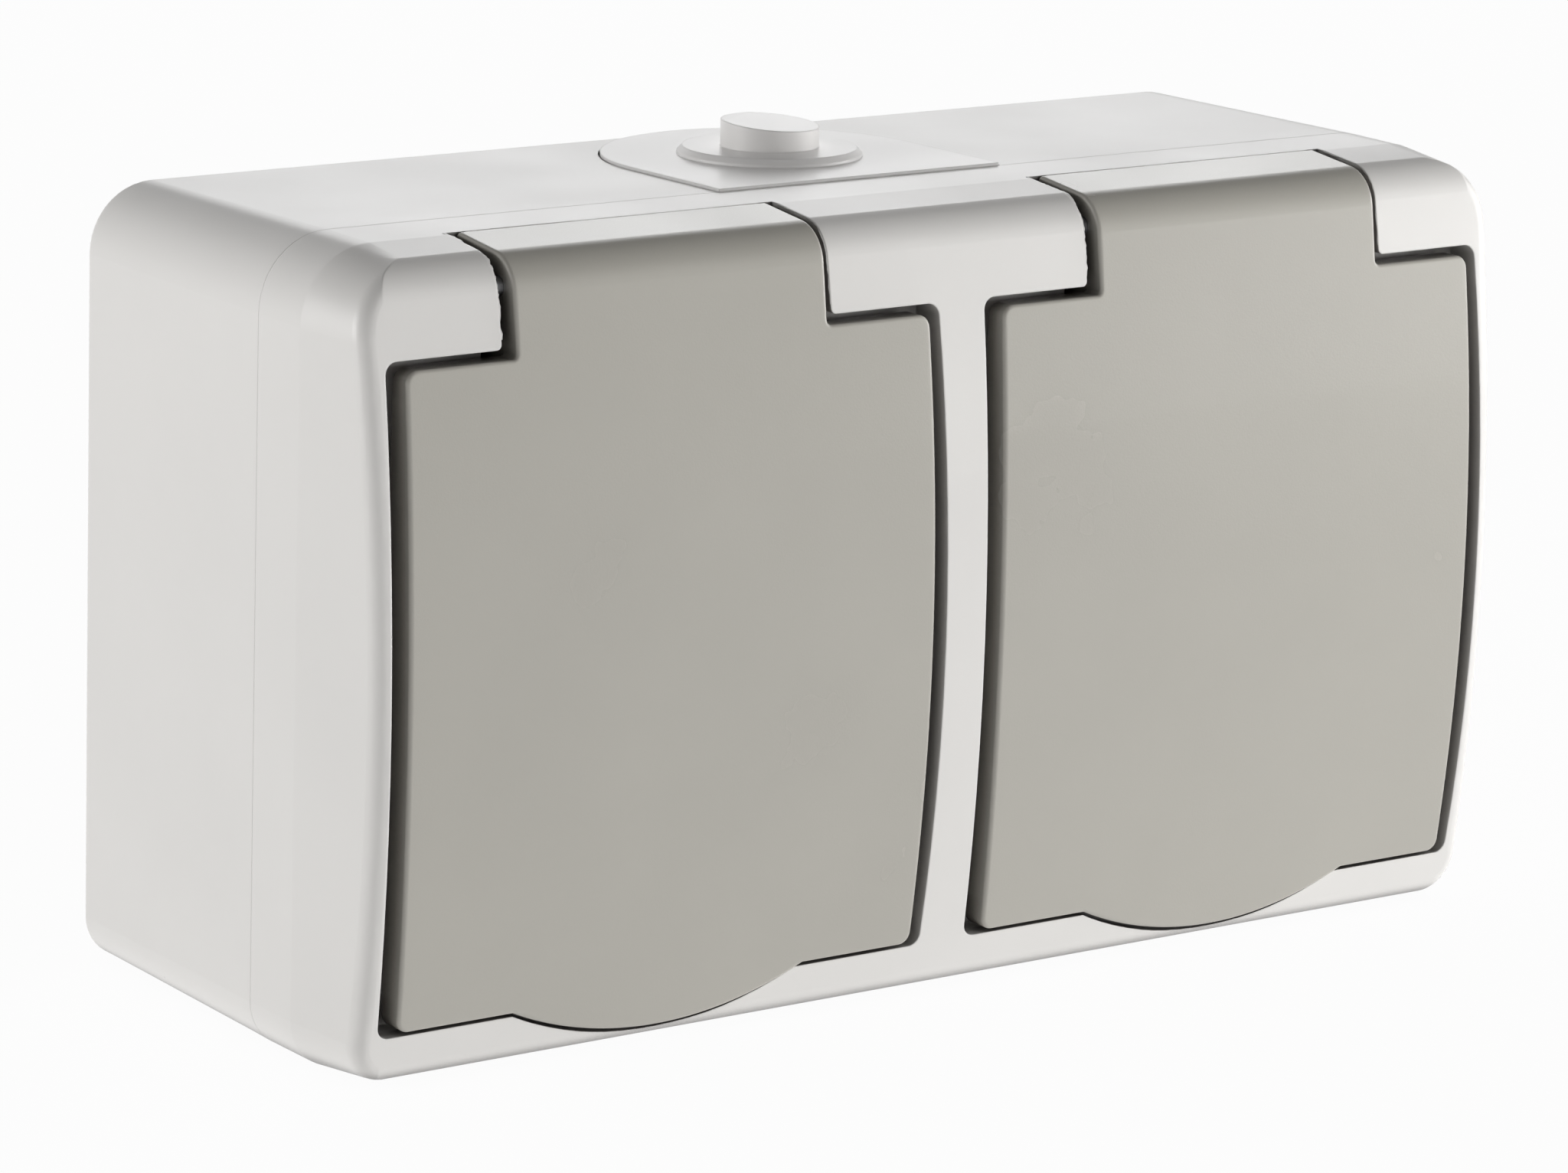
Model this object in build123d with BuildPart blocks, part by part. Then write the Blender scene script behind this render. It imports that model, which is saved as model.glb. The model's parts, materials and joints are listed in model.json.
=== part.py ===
"""Surface-mounted double wall socket with two sprung lids, in millimetres.

X runs to the right along the wall, the wall plane is Y = 0 and the lids face -Y, Z is up.
The origin is the centre of the back face. A depth is a distance from the wall towards the lids.
"""
import math
import os

from build123d import *

# Housing: back box and front cover
width = 150.0
height = 86.0
box_depth = 36.0
draft_angle = 1.0
corner_radius = 8.0
low_corner_radius = 5.5
least_corner_radius = 1.0
wall = 2.4
back_wall = 2.5
rear_edge_radius = 0.9
band_depth = 8.0
side_slant = 6.0
crown_depth = 57.4
crown_z = -4.0
cover_crown_radius = 228.0
top_round = 4.5
bottom_round = 2.5
ridge_round = 1.8

# Seal between box and cover
ledge_width = 2.6
ledge_thickness = 2.0
ledge_depth = 29.5
skirt_thickness = 1.6
skirt_clearance = 0.3
skirt_length = 3.0
gasket_side_gap = 0.3

# Pockets for the lids
pocket_pitch = 74.5
pocket_width = 68.5
pocket_top_margin = 10.0
pocket_bottom_margin = 5.9
pocket_depth = 6.9
pocket_floor_thickness = 2.0
pocket_corner_radius = 1.4
side_barrel = 0.4

# Lids
lid_gap = 1.85
lid_top_gap = 1.0
lid_bottom_gap = 0.5
lid_side_play = 0.25
lid_proud = 0.1
lid_crown_radius = 280.0
lid_wall = 2.2
lid_skirt_wall = 1.8
lid_skirt_gap = 2.1
lid_corner_radius = 1.4
lid_edge_round = 0.4
tab_width = 38.4
tab_gap = 1.2
tab_corner_radius = 0.6
tab_wall = 1.8
tab_cheek = 2.5
heel_thickness = 1.9
heel_drop = 0.7
thumb_width = 36.6
thumb_drop = 4.1
thumb_thickness = 1.8
thumb_gap = 0.5

# Hinge
pin_set_back = 6.2
pin_drop = 3.35
pin_radius = 1.0
pin_seat = 4.0
pin_running_gap = 0.05
pin_seat_gap = 0.02
heel_radius = 8.6
trough_radius = 9.05
trough_wall = 2.0

# Lid spring
spring_wire = 0.5
spring_mean_radius = 1.35
spring_turns = 6.5
spring_pitch = 0.7
spring_clearance = 0.3
spring_bend = 1.15
spring_leg_rise = 0.2
spring_lid_leg = 3.6
spring_box_angle = -50

# Lid seal
seal_set_out = 2.55
seal_width = 1.8
seal_thickness = 1.1
seal_rib_wall = 1.0
seal_rest_gap = 0.3

# Socket face: the round well that takes a plug
well_z = -3.0
well_radius = 19.75
well_wall = 1.25
well_depth = 17.1
well_floor = 2.0
well_flange_width = 4.25
well_flange_thickness = 2.1
well_skirt = 2.0
well_hole_gap = 0.3
well_edge_round = 0.6
pin_pitch = 19.0
pin_hole_radius = 2.7
guide_width = 4.6
guide_height = 1.6
window_width = 9.0
window_start = 2.8
window_length = 9.3

# Socket base behind the face
base_back_depth = 13.0
base_width = 44.0
base_height = 46.0
base_ear_size = 8.5
base_ear_thickness = 4.0
base_edge_round = 1.0
chamber_width = 9.0
chamber_floor_depth = 15.5
chamber_inner = 5.2
chamber_end_wall = 4.0

# Contacts and terminals
strip = 0.8
contact_height = 8.0
contact_pin_gap = 0.2
contact_grip = 0.55
contact_set_back = 2.0
contact_lead = 2.4
contact_taper = 5.6
tail_width = 6.4
clamp_size = 7.0
clamp_height = 7.5
clamp_wire_radius = 1.7
clamp_inset = 9.0
earth_width = 8.0
earth_arm_gap = 0.4
earth_bump = 3.2
earth_tip = 0.4

# Screws
screw_radius = 1.5
screw_hole_gap = 0.05
screw_through_gap = 0.3
screw_tip_gap = 1.0
face_screw_head_radius = 3.0
face_screw_length = 16.0
base_screw_length = 9.0
base_screw_head_radius = 2.9
base_screw_head = 2.0
post_radius = 4.0
terminal_screw_length = 5.0
terminal_screw_radius = 1.4
terminal_head_radius = 2.6
terminal_head = 1.7
slot_width = 0.8
slot_depth = 0.7

# Wall fixing holes
wall_hole_pitch_x = 130.0
wall_hole_pitch_z = 66.0
wall_hole_radius = 2.25
wall_boss_radius = 4.6
wall_boss_height = 1.5

# Cable entry insert in the top of the box
entry_radius = 18.5
entry_depth = 19.0
entry_lip = 1.9
entry_flange = 0.8
entry_proud = 0.3
entry_clearance = 0.2
entry_inner_flange = 1.0
entry_inner_drop = 2.6
ring_radius = 10.15
ring_height = 0.9
ring_chamfer = 0.6
stub_radius = 5.4
stub_height = 2.9
stub_slant = 2.6
stub_trim = 0.6
stub_wall = 1.0

# Clearances and limits that several pieces share
loose_gap = 0.1
overcut = 1.0
face_tolerance = 0.3

pocket_half = pocket_width / 2
pocket_top = height / 2 - pocket_top_margin
pocket_bottom = pocket_bottom_margin - height / 2
pocket_floor_depth = crown_depth - pocket_depth
floor_back_depth = pocket_floor_depth - pocket_floor_thickness
lid_crown_depth = crown_depth + lid_proud
lid_skirt_depth = pocket_floor_depth + lid_skirt_gap
lid_half = pocket_half - lid_gap
lid_top = pocket_top - lid_top_gap
lid_bottom = pocket_bottom + lid_bottom_gap
tab_half = tab_width / 2
opening_half = tab_half + tab_gap
slant = math.tan(math.radians(side_slant))
well_front_depth = pocket_floor_depth + well_flange_thickness
well_floor_depth = well_front_depth - well_depth
well_outer = well_radius + well_wall
well_flange_radius = well_radius + well_flange_width
seal_radius = well_radius + seal_set_out
window_near = well_floor_depth + window_start
window_far = window_near + window_length
base_front_depth = well_floor_depth - well_floor - well_skirt
base_seat_depth = base_back_depth + base_ear_thickness
ear_x = (base_width - base_ear_size) / 2
ear_z = (base_height - base_ear_size) / 2
clamp_offset = base_height / 2 - clamp_inset
taper_start = box_depth + band_depth
pin_depth = crown_depth - pin_set_back
side_names = {"left": -pocket_pitch / 2, "right": pocket_pitch / 2}


def facing(depth):
    """Plane parallel to the wall at a depth, looking towards the lids."""
    return Plane.XZ.offset(depth)


def across(x):
    """Plane square to X, whose own axes are Y and Z."""
    return Plane.YZ.offset(x)


def crown(z, depth, radius):
    """Depth of a bulging front, an arc whose furthest point is at crown_z."""
    return depth - radius + math.sqrt(radius**2 - (z - crown_z) ** 2)


def slanted_top(depth):
    """Height of the top face of the cover, which falls towards the front."""
    return height / 2 - max(0.0, depth - taper_start) * slant


pin_z = slanted_top(pin_depth) - pin_drop
pin_axis_point = (-pin_depth, pin_z)


def housing_outline(inset=0.0):
    """Outline of the housing moved in by an inset; its lower corners are tighter than the upper."""
    with BuildSketch() as outline:
        Rectangle(width - 2 * inset, height - 2 * inset)
        fillet(vertices().group_by(Axis.Y)[-1], max(corner_radius - inset, least_corner_radius))
        fillet(vertices().group_by(Axis.Y)[0], max(low_corner_radius - inset, least_corner_radius))
    return outline.sketch


def save(part, name):
    """Write one finished piece under its own name."""
    part.label = name
    export_step(part, f"parts/{name}.step")


def at_sides(part, name, play=0.0):
    """Write a left and a right copy of a piece made about X = 0, moved along its pin by its play."""
    for side, x in side_names.items():
        save(part.moved(Location((x + play, 0, 0))), f"{side}_{name}")


def back_box():
    """Open drafted box with a sealing ledge, screw posts and a slot for the cable entry."""
    rear = Plane((0, -box_depth, 0), x_dir=(-1, 0, 0), z_dir=(0, 1, 0))
    outside = housing_outline()
    inside = housing_outline(wall)
    ledge_root = housing_outline(wall - wall / 4)
    ledge_opening = housing_outline(wall + ledge_width)
    with BuildPart() as box:
        with BuildSketch(rear):
            add(outside)
        extrude(amount=box_depth, taper=draft_angle)
        fillet(box.edges().group_by(Axis.Y)[-1], rear_edge_radius)
        with BuildSketch(rear):
            add(inside)
        extrude(amount=box_depth - back_wall, taper=draft_angle, mode=Mode.SUBTRACT)
        with BuildSketch(facing(ledge_depth)):
            add(ledge_root)
            add(ledge_opening, mode=Mode.SUBTRACT)
        extrude(amount=ledge_thickness)
        with BuildSketch(facing(back_wall - wall_boss_height)):
            with GridLocations(wall_hole_pitch_x, wall_hole_pitch_z, 2, 2):
                Circle(wall_boss_radius)
        extrude(amount=2 * wall_boss_height)
        with BuildSketch(facing(0)):
            with GridLocations(wall_hole_pitch_x, wall_hole_pitch_z, 2, 2):
                Circle(wall_hole_radius)
        extrude(amount=back_wall + wall_boss_height, mode=Mode.SUBTRACT)
        with BuildSketch(facing(back_wall / 2)):
            with Locations(*base_screw_points()):
                Circle(post_radius)
        extrude(amount=base_back_depth - back_wall / 2)
        with BuildSketch(facing(base_back_depth)):
            with Locations(*base_screw_points()):
                Circle(screw_radius + screw_hole_gap)
        extrude(amount=-(base_screw_length - base_ear_thickness + screw_tip_gap), mode=Mode.SUBTRACT)
        with BuildSketch(top_face().offset(entry_proud - entry_flange - entry_clearance / 2)):
            entry_outline(entry_radius + entry_clearance)
        extrude(amount=entry_flange, mode=Mode.SUBTRACT)
        with BuildSketch(top_face().offset(-wall - overcut)):
            entry_outline(entry_radius - entry_lip + entry_clearance)
        extrude(amount=wall + 2 * overcut, mode=Mode.SUBTRACT)
        with BuildSketch(facing(ledge_depth - entry_clearance)):
            with Locations((0, height / 2 - wall - ledge_width / 2)):
                Rectangle(2 * (entry_radius + entry_clearance), ledge_width + 2 * loose_gap)
        extrude(amount=ledge_thickness + 2 * entry_clearance, mode=Mode.SUBTRACT)
    return box.part


def base_screw_points():
    """Two opposite corners of each socket base, where screws hold it to the box."""
    return [(x + s * ear_x, well_z + s * ear_z) for x in side_names.values() for s in (-1, 1)]


def top_face():
    """Plane on the drafted top of the box; its Y runs back from the parting line."""
    lean = math.radians(draft_angle)
    return Plane((0, -box_depth, height / 2), x_dir=(1, 0, 0), z_dir=(0, math.sin(lean), math.cos(lean)))


def entry_outline(radius, front=0.0, back=None):
    """U outline open at the parting line, trimmed at a front and a back distance from it."""
    centre = box_depth - entry_depth
    with Locations((0, centre)):
        Circle(radius)
    with Locations((0, centre / 2)):
        Rectangle(2 * radius, centre)
    with Locations((0, front - radius)):
        Rectangle(4 * radius, 2 * radius, mode=Mode.SUBTRACT)
    if back is not None:
        with Locations((0, back + radius)):
            Rectangle(4 * radius, 2 * radius, mode=Mode.SUBTRACT)


def cable_entry_insert():
    """Slide-in plate with a ring and a closed stub that is cut open for a cable."""
    plate = top_face()
    centre = box_depth - entry_depth
    ledge_far = box_depth - ledge_depth
    with BuildPart() as insert:
        with BuildSketch(plate.offset(entry_proud - entry_flange)):
            entry_outline(entry_radius, front=entry_clearance / 2)
        extrude(amount=entry_flange)
        with BuildSketch(plate.offset(entry_proud - entry_flange)):
            entry_outline(entry_radius - entry_lip, front=entry_clearance / 2)
        extrude(amount=-(wall + entry_proud - entry_flange))
        with BuildSketch(plate.offset(-wall)):
            entry_outline(entry_radius, front=ledge_far, back=box_depth - back_wall - entry_clearance)
        extrude(amount=-entry_inner_flange)
        with BuildSketch(plate.offset(-wall)):
            with Locations((0, ledge_far - (ledge_thickness - entry_clearance) / 2)):
                Rectangle(2 * entry_radius, ledge_thickness - entry_clearance)
        extrude(amount=-entry_inner_drop)
        with BuildSketch(plate.offset(entry_proud)):
            with Locations((0, centre)):
                Circle(ring_radius)
        extrude(amount=ring_height)
        chamfer(insert.edges().group_by(Axis.Z)[-1], ring_chamfer)
        with BuildSketch(plate.offset(entry_proud)):
            with Locations((0, centre)):
                Circle(stub_radius)
        extrude(amount=ring_height + stub_height)
        cut_z = height / 2 + entry_proud + ring_height + stub_height - stub_trim
        lean = math.radians(stub_slant)
        cut = Plane((0, -entry_depth, cut_z), z_dir=(math.sin(lean), -math.sin(lean), math.cos(lean)))
        split(bisect_by=cut, keep=Keep.BOTTOM)
        with BuildSketch(plate.offset(-wall)):
            with Locations((0, centre)):
                Circle(stub_radius - stub_wall)
        extrude(amount=wall + entry_proud + ring_height + stub_height - 2 * stub_wall, mode=Mode.SUBTRACT)
    return insert.part


def box_gasket():
    """Flat sealing ring that lies on the ledge of the box under the skirt of the cover."""
    outer = housing_outline(wall + gasket_side_gap)
    inner = housing_outline(wall + gasket_side_gap + skirt_thickness)
    with BuildPart() as gasket:
        with BuildSketch(facing(ledge_depth + ledge_thickness)):
            add(outer)
            add(inner, mode=Mode.SUBTRACT)
        extrude(amount=box_depth - skirt_length - ledge_depth - ledge_thickness)
    return gasket.part


def rounded_profile():
    """Side view of the cover: slanted top and bottom, rounded into its bulging front."""
    half = height / 2
    top_z = slanted_top(crown(half, crown_depth, cover_crown_radius))
    front_top = (-crown(top_z, crown_depth, cover_crown_radius), top_z)
    front_low = (-crown(-top_z, crown_depth, cover_crown_radius), -top_z)
    run = -front_top[0] - taper_start
    with BuildSketch() as profile:
        with BuildLine():
            Polyline(front_low, (-taper_start, -half), (-box_depth, -half), (-box_depth, half))
            Polyline((-box_depth, half), (-taper_start, half), front_top)
            ThreePointArc(front_top, (-crown_depth, crown_z), front_low)
        make_face()
        fillet(vertices().sort_by(Axis.X).filter_by(lambda v: v.Y > 0)[0], min(top_round, run))
        fillet(vertices().sort_by(Axis.X).filter_by(lambda v: v.Y < -half / 2)[0], min(bottom_round, run))
    return profile.sketch


def bulge_profile(depth, radius, back, low_z, top_z):
    """Side view of a block with a bulging front, between two heights and cut off at a back depth."""
    front_top = (-crown(top_z, depth, radius), top_z)
    front_low = (-crown(low_z, depth, radius), low_z)
    with BuildSketch() as profile:
        with BuildLine():
            Polyline(front_low, (-back, low_z), (-back, top_z), front_top)
            ThreePointArc(front_top, (-depth, crown_z), front_low)
        make_face()
    return profile.sketch


def lid_panel_profile(inset, back):
    """Side view of the lid panel, inset from its outside."""
    low_z = lid_bottom - thumb_drop - overcut
    return bulge_profile(lid_crown_depth - inset, lid_crown_radius - inset, back, low_z, pocket_top)


def cover_form():
    """Solid outside of the cover: slanted sides and a front that bulges about X."""
    reach = height / 2 + overcut
    bulge = bulge_profile(crown_depth, cover_crown_radius, box_depth, -reach, reach)
    rounded = rounded_profile()
    outline = housing_outline()
    with BuildPart() as form:
        with BuildSketch(facing(box_depth)):
            add(outline)
        extrude(amount=band_depth)
        with BuildSketch(facing(taper_start)):
            add(outline)
        extrude(amount=crown_depth + overcut - taper_start, taper=side_slant)
        with BuildSketch(across(-width)):
            add(bulge)
        extrude(amount=2 * width, mode=Mode.INTERSECT)
        fillet(form.edges().filter_by(on_cover_front), ridge_round)
        with BuildSketch(across(-width)):
            add(rounded)
        extrude(amount=2 * width, mode=Mode.INTERSECT)
    return form.part


def on_cover_front(edge):
    """True for the edges of the bulging front of the cover."""
    centre = edge.center()
    return abs(crown(centre.Z, crown_depth, cover_crown_radius) + centre.Y) < face_tolerance


def bowed_face(half, top, bottom, radius):
    """Front outline with slightly bowed sides and rounded corners, for a pocket or a lid."""
    middle = (top + bottom) / 2
    bow = half + side_barrel
    with BuildSketch() as outline:
        with BuildLine():
            Line((-half, top), (half, top))
            ThreePointArc((half, top), (bow, middle), (half, bottom))
            Line((half, bottom), (-half, bottom))
            ThreePointArc((-half, bottom), (-bow, middle), (-half, top))
        make_face()
        fillet(vertices(), radius)
    return outline.sketch


def thumb_face(gap, root):
    """Arc segment below a lid where a thumb lifts it, grown by a gap and closed at a root height."""
    half = thumb_width / 2 + gap
    with BuildSketch() as outline:
        with BuildLine():
            ThreePointArc((half, lid_bottom), (0, lid_bottom - thumb_drop - gap), (-half, lid_bottom))
            Polyline((-half, lid_bottom), (-half, root), (half, root), (half, lid_bottom))
        make_face()
    return outline.sketch


def thumb_back_depth():
    """Depth of the back of the thumb tab at its lowest point."""
    return crown(lid_bottom - thumb_drop, lid_crown_depth, lid_crown_radius) - thumb_thickness


def front_cover():
    """Cover with two lid pockets, ears that carry the hinge pins, troughs and socket holes."""
    inside = housing_outline(wall)
    rim = housing_outline(wall + skirt_clearance)
    rim_inside = housing_outline(wall + skirt_clearance + skirt_thickness)
    collar = housing_outline(wall / 2)
    form = cover_form()
    pocket = bowed_face(pocket_half, pocket_top, pocket_bottom, pocket_corner_radius)
    notch = thumb_face(thumb_gap, pocket_bottom + overcut)
    with BuildPart() as troughs:
        for x in side_names.values():
            with BuildSketch(across(x - opening_half - trough_wall)):
                with Locations(pin_axis_point):
                    Circle(trough_radius + trough_wall)
            extrude(amount=2 * (opening_half + trough_wall))
        add(form, mode=Mode.INTERSECT)
    with BuildPart() as cover:
        add(form)
        with BuildSketch(facing(box_depth)):
            add(inside)
        extrude(amount=floor_back_depth - box_depth, taper=side_slant / 2, mode=Mode.SUBTRACT)
        add(troughs.part)
        with BuildSketch(facing(box_depth - skirt_length)):
            add(rim)
            add(rim_inside, mode=Mode.SUBTRACT)
        extrude(amount=skirt_length)
        with BuildSketch(facing(box_depth)):
            add(collar)
            add(rim_inside, mode=Mode.SUBTRACT)
        extrude(amount=wall)
        for x in side_names.values():
            with BuildSketch(facing(pocket_floor_depth)):
                with Locations((x, 0)):
                    add(pocket)
            extrude(amount=crown_depth, mode=Mode.SUBTRACT)
            with BuildSketch(facing(thumb_back_depth() - thumb_gap)):
                with Locations((x, 0)):
                    add(notch)
            extrude(amount=crown_depth, mode=Mode.SUBTRACT)
            with BuildSketch(across(x - opening_half)):
                with Locations(pin_axis_point):
                    Circle(trough_radius)
                with Locations((-pin_depth - trough_radius, pin_z)):
                    Rectangle(2 * trough_radius, 2 * trough_radius)
            extrude(amount=2 * opening_half, mode=Mode.SUBTRACT)
            with BuildSketch(across(x - opening_half - pin_seat)):
                with Locations(pin_axis_point):
                    Circle(pin_radius + pin_seat_gap)
            extrude(amount=2 * (opening_half + pin_seat), mode=Mode.SUBTRACT)
        with BuildSketch(facing(floor_back_depth - overcut)):
            with Locations(*[(x, well_z) for x in side_names.values()]):
                Circle(well_outer + well_hole_gap)
        extrude(amount=pocket_floor_thickness + 2 * overcut, mode=Mode.SUBTRACT)
        fillet(cover.edges().filter_by(Axis.Y).filter_by(on_ear_corner), tab_corner_radius)
    return cover.part


def on_ear_corner(edge):
    """True for the corners where the side of an ear meets the top of its pocket."""
    centre = edge.center()
    beside = min(abs(abs(centre.X - x) - opening_half) for x in side_names.values())
    return beside < face_tolerance and abs(centre.Z - pocket_top) < face_tolerance


def tab_profile(inset):
    """Side view of the lid's tab: the bulge carried up and rounded over the top edge of the cover."""
    top_z = slanted_top(crown(height / 2, lid_crown_depth, lid_crown_radius) - inset) - inset
    depth = lid_crown_depth - inset
    radius = lid_crown_radius - inset
    low_z = lid_top - tab_wall
    front_top = (-crown(top_z, depth, radius), top_z)
    front_low = (-crown(low_z, depth, radius), low_z)
    middle_z = (top_z + low_z) / 2
    rear = pin_depth - trough_radius
    with BuildSketch() as profile:
        with BuildLine():
            ThreePointArc(front_top, (-crown(middle_z, depth, radius), middle_z), front_low)
            Polyline(front_low, (-rear, low_z), (-rear, top_z - (front_top[0] + rear) * slant), front_top)
        make_face()
        fillet(vertices().filter_by(lambda v: v.Y > middle_z).sort_by(Axis.X)[0], top_round - inset)
    return profile.sketch


def lid():
    """Sprung lid: bulging panel with a skirt, a tab over the top edge, a thumb tab and a seal rib."""
    panel_face = bowed_face(lid_half, lid_top, lid_bottom, lid_corner_radius)
    inner_top = lid_top - lid_skirt_wall
    inner_bottom = lid_bottom + lid_skirt_wall
    inner_face = bowed_face(lid_half - lid_skirt_wall, inner_top, inner_bottom, lid_corner_radius)
    outside = lid_panel_profile(0, lid_skirt_depth)
    inside = lid_panel_profile(lid_wall, lid_skirt_depth)
    tab_outside = tab_profile(0)
    tab_inside = tab_profile(tab_wall)
    with BuildPart() as hollow:
        with BuildSketch(across(-lid_half)):
            add(inside)
        extrude(amount=2 * lid_half)
        with BuildSketch(facing(pocket_floor_depth)):
            add(inner_face)
        extrude(amount=crown_depth, mode=Mode.INTERSECT)
    with BuildPart() as tab:
        with BuildSketch(across(-tab_half)):
            add(tab_outside)
        extrude(amount=tab_width)
        with BuildSketch(across(-tab_half)):
            with Locations(pin_axis_point):
                Circle(heel_radius)
            with Locations((-lid_skirt_depth - heel_radius, pin_z)):
                Rectangle(2 * heel_radius, 3 * heel_radius)
        extrude(amount=tab_width, mode=Mode.INTERSECT)
    with BuildPart() as tab_hollow:
        with BuildSketch(across(-tab_half + tab_cheek)):
            add(tab_inside)
        extrude(amount=tab_width - 2 * tab_cheek)
        with BuildSketch(across(-tab_half)):
            with Locations((-pin_depth + heel_radius - heel_thickness, pin_z - heel_drop)):
                Rectangle(6 * heel_radius, 6 * heel_radius, align=(Align.MAX, Align.CENTER))
            with Locations((-pin_depth, pin_z - heel_drop)):
                Rectangle(6 * heel_radius, 3 * heel_radius, align=(Align.CENTER, Align.MAX))
        extrude(amount=tab_width, mode=Mode.INTERSECT)
    with BuildPart() as piece:
        with BuildSketch(across(-lid_half - side_barrel)):
            add(outside)
        extrude(amount=2 * (lid_half + side_barrel))
        with BuildSketch(facing(pocket_floor_depth)):
            add(panel_face)
        extrude(amount=crown_depth, mode=Mode.INTERSECT)
        add(hollow.part, mode=Mode.SUBTRACT)
        add(tab.part)
        add(tab_hollow.part, mode=Mode.SUBTRACT)
        fillet(piece.edges().filter_by(Axis.Y).filter_by(on_tab_root), tab_corner_radius)
        add(thumb_tab())
        fillet(piece.edges().filter_by(on_lid_front), lid_edge_round)
        add(seal_rib())
        with BuildSketch(across(-tab_half - overcut)):
            with Locations(pin_axis_point):
                Circle(pin_radius + pin_running_gap)
        extrude(amount=tab_width + 2 * overcut, mode=Mode.SUBTRACT)
        coil_room = spring_turns * spring_pitch / 2 + spring_wire + spring_clearance
        with BuildSketch(across(-coil_room)):
            with Locations(pin_axis_point):
                Circle(spring_mean_radius + spring_wire / 2 + spring_clearance)
        extrude(amount=2 * coil_room, mode=Mode.SUBTRACT)
    return piece.part


def on_lid_front(edge):
    """True for the outer edges of the bulging face of a lid."""
    centre = edge.center()
    surface = crown(centre.Z, lid_crown_depth, lid_crown_radius)
    return centre.Z < lid_top + overcut and abs(-centre.Y - surface) < face_tolerance


def on_tab_root(edge):
    """True for the inner corners where the tab rises from the panel of a lid."""
    centre = edge.center()
    return abs(abs(centre.X) - tab_half) < face_tolerance and abs(centre.Z - lid_top) < face_tolerance


def thumb_tab():
    """Lip below the lid that follows its bulge."""
    with BuildPart() as lip:
        with BuildSketch(across(-thumb_width / 2)):
            add(lid_panel_profile(0, lid_skirt_depth))
            add(lid_panel_profile(thumb_thickness, lid_skirt_depth - overcut), mode=Mode.SUBTRACT)
        extrude(amount=thumb_width)
        with BuildSketch(facing(pocket_floor_depth)):
            add(thumb_face(0, lid_bottom + overcut))
        extrude(amount=crown_depth, mode=Mode.INTERSECT)
    return lip.part


def seal_rib():
    """Pair of round ribs inside the lid that hold the seal."""
    rib_back = well_front_depth + seal_rest_gap + loose_gap
    half = seal_width / 2 + loose_gap
    groove_floor = well_front_depth + seal_rest_gap + seal_thickness
    with BuildPart() as rib:
        with BuildSketch(facing(rib_back)):
            with Locations((0, well_z)):
                Circle(seal_radius + half + seal_rib_wall)
                Circle(seal_radius - half - seal_rib_wall, mode=Mode.SUBTRACT)
        extrude(amount=crown_depth - rib_back)
        with BuildSketch(facing(rib_back)):
            with Locations((0, well_z)):
                Circle(seal_radius + half)
                Circle(seal_radius - half, mode=Mode.SUBTRACT)
        extrude(amount=groove_floor - rib_back, mode=Mode.SUBTRACT)
        with BuildSketch(across(-seal_radius * 2)):
            add(lid_panel_profile(lid_wall - loose_gap, box_depth))
        extrude(amount=seal_radius * 4, mode=Mode.INTERSECT)
    return rib.part


def lid_seal():
    """Soft ring that closes the lid against the flange of the socket face."""
    with BuildPart() as seal:
        with BuildSketch(facing(well_front_depth + seal_rest_gap)):
            with Locations((0, well_z)):
                Circle(seal_radius + seal_width / 2)
                Circle(seal_radius - seal_width / 2, mode=Mode.SUBTRACT)
        extrude(amount=seal_thickness)
    return seal.part


def hinge_pin():
    """Steel pin that crosses the tab and ends in both ears."""
    length = 2 * (opening_half + pin_seat) - loose_gap
    with BuildPart() as pin:
        with BuildSketch(across(-length / 2)):
            with Locations(pin_axis_point):
                Circle(pin_radius)
        extrude(amount=length)
        chamfer(pin.edges().filter_by(GeomType.CIRCLE), pin_radius / 4)
    return pin.part


def lid_spring():
    """Torsion spring round the hinge pin: one leg bears on the trough, the other lifts the tab."""
    wire = spring_wire / 2
    coil_length = spring_turns * spring_pitch
    centre = Vector(0, -pin_depth, pin_z)
    start = Vector(-coil_length / 2, -pin_depth, pin_z)
    path = Helix(spring_pitch, coil_length, spring_mean_radius, center=start, direction=(1, 0, 0))
    reach = trough_radius - wire - loose_gap
    seat_angle = math.radians(spring_box_angle)
    seat = Vector(0, centre.Y + reach * math.cos(seat_angle), centre.Z + reach * math.sin(seat_angle))
    lid_leg_z = pin_z + spring_mean_radius + spring_leg_rise
    lid_leg_end = Vector(-coil_length / 2, spring_lid_leg - pin_depth, lid_leg_z)
    box_leg_end = Vector(coil_length / 2, seat.Y, seat.Z)
    with BuildPart() as spring:
        with BuildSketch(Plane(origin=path @ 0, z_dir=path % 0)):
            Circle(wire)
        sweep(path=path)
        for begin, end in ((path @ 0, lid_leg_end), (path @ 1, box_leg_end)):
            with Locations(begin):
                Sphere(wire * spring_bend)
            with BuildSketch(Plane(origin=begin, z_dir=end - begin)):
                Circle(wire)
            extrude(amount=(end - begin).length)
    return spring.part


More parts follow.
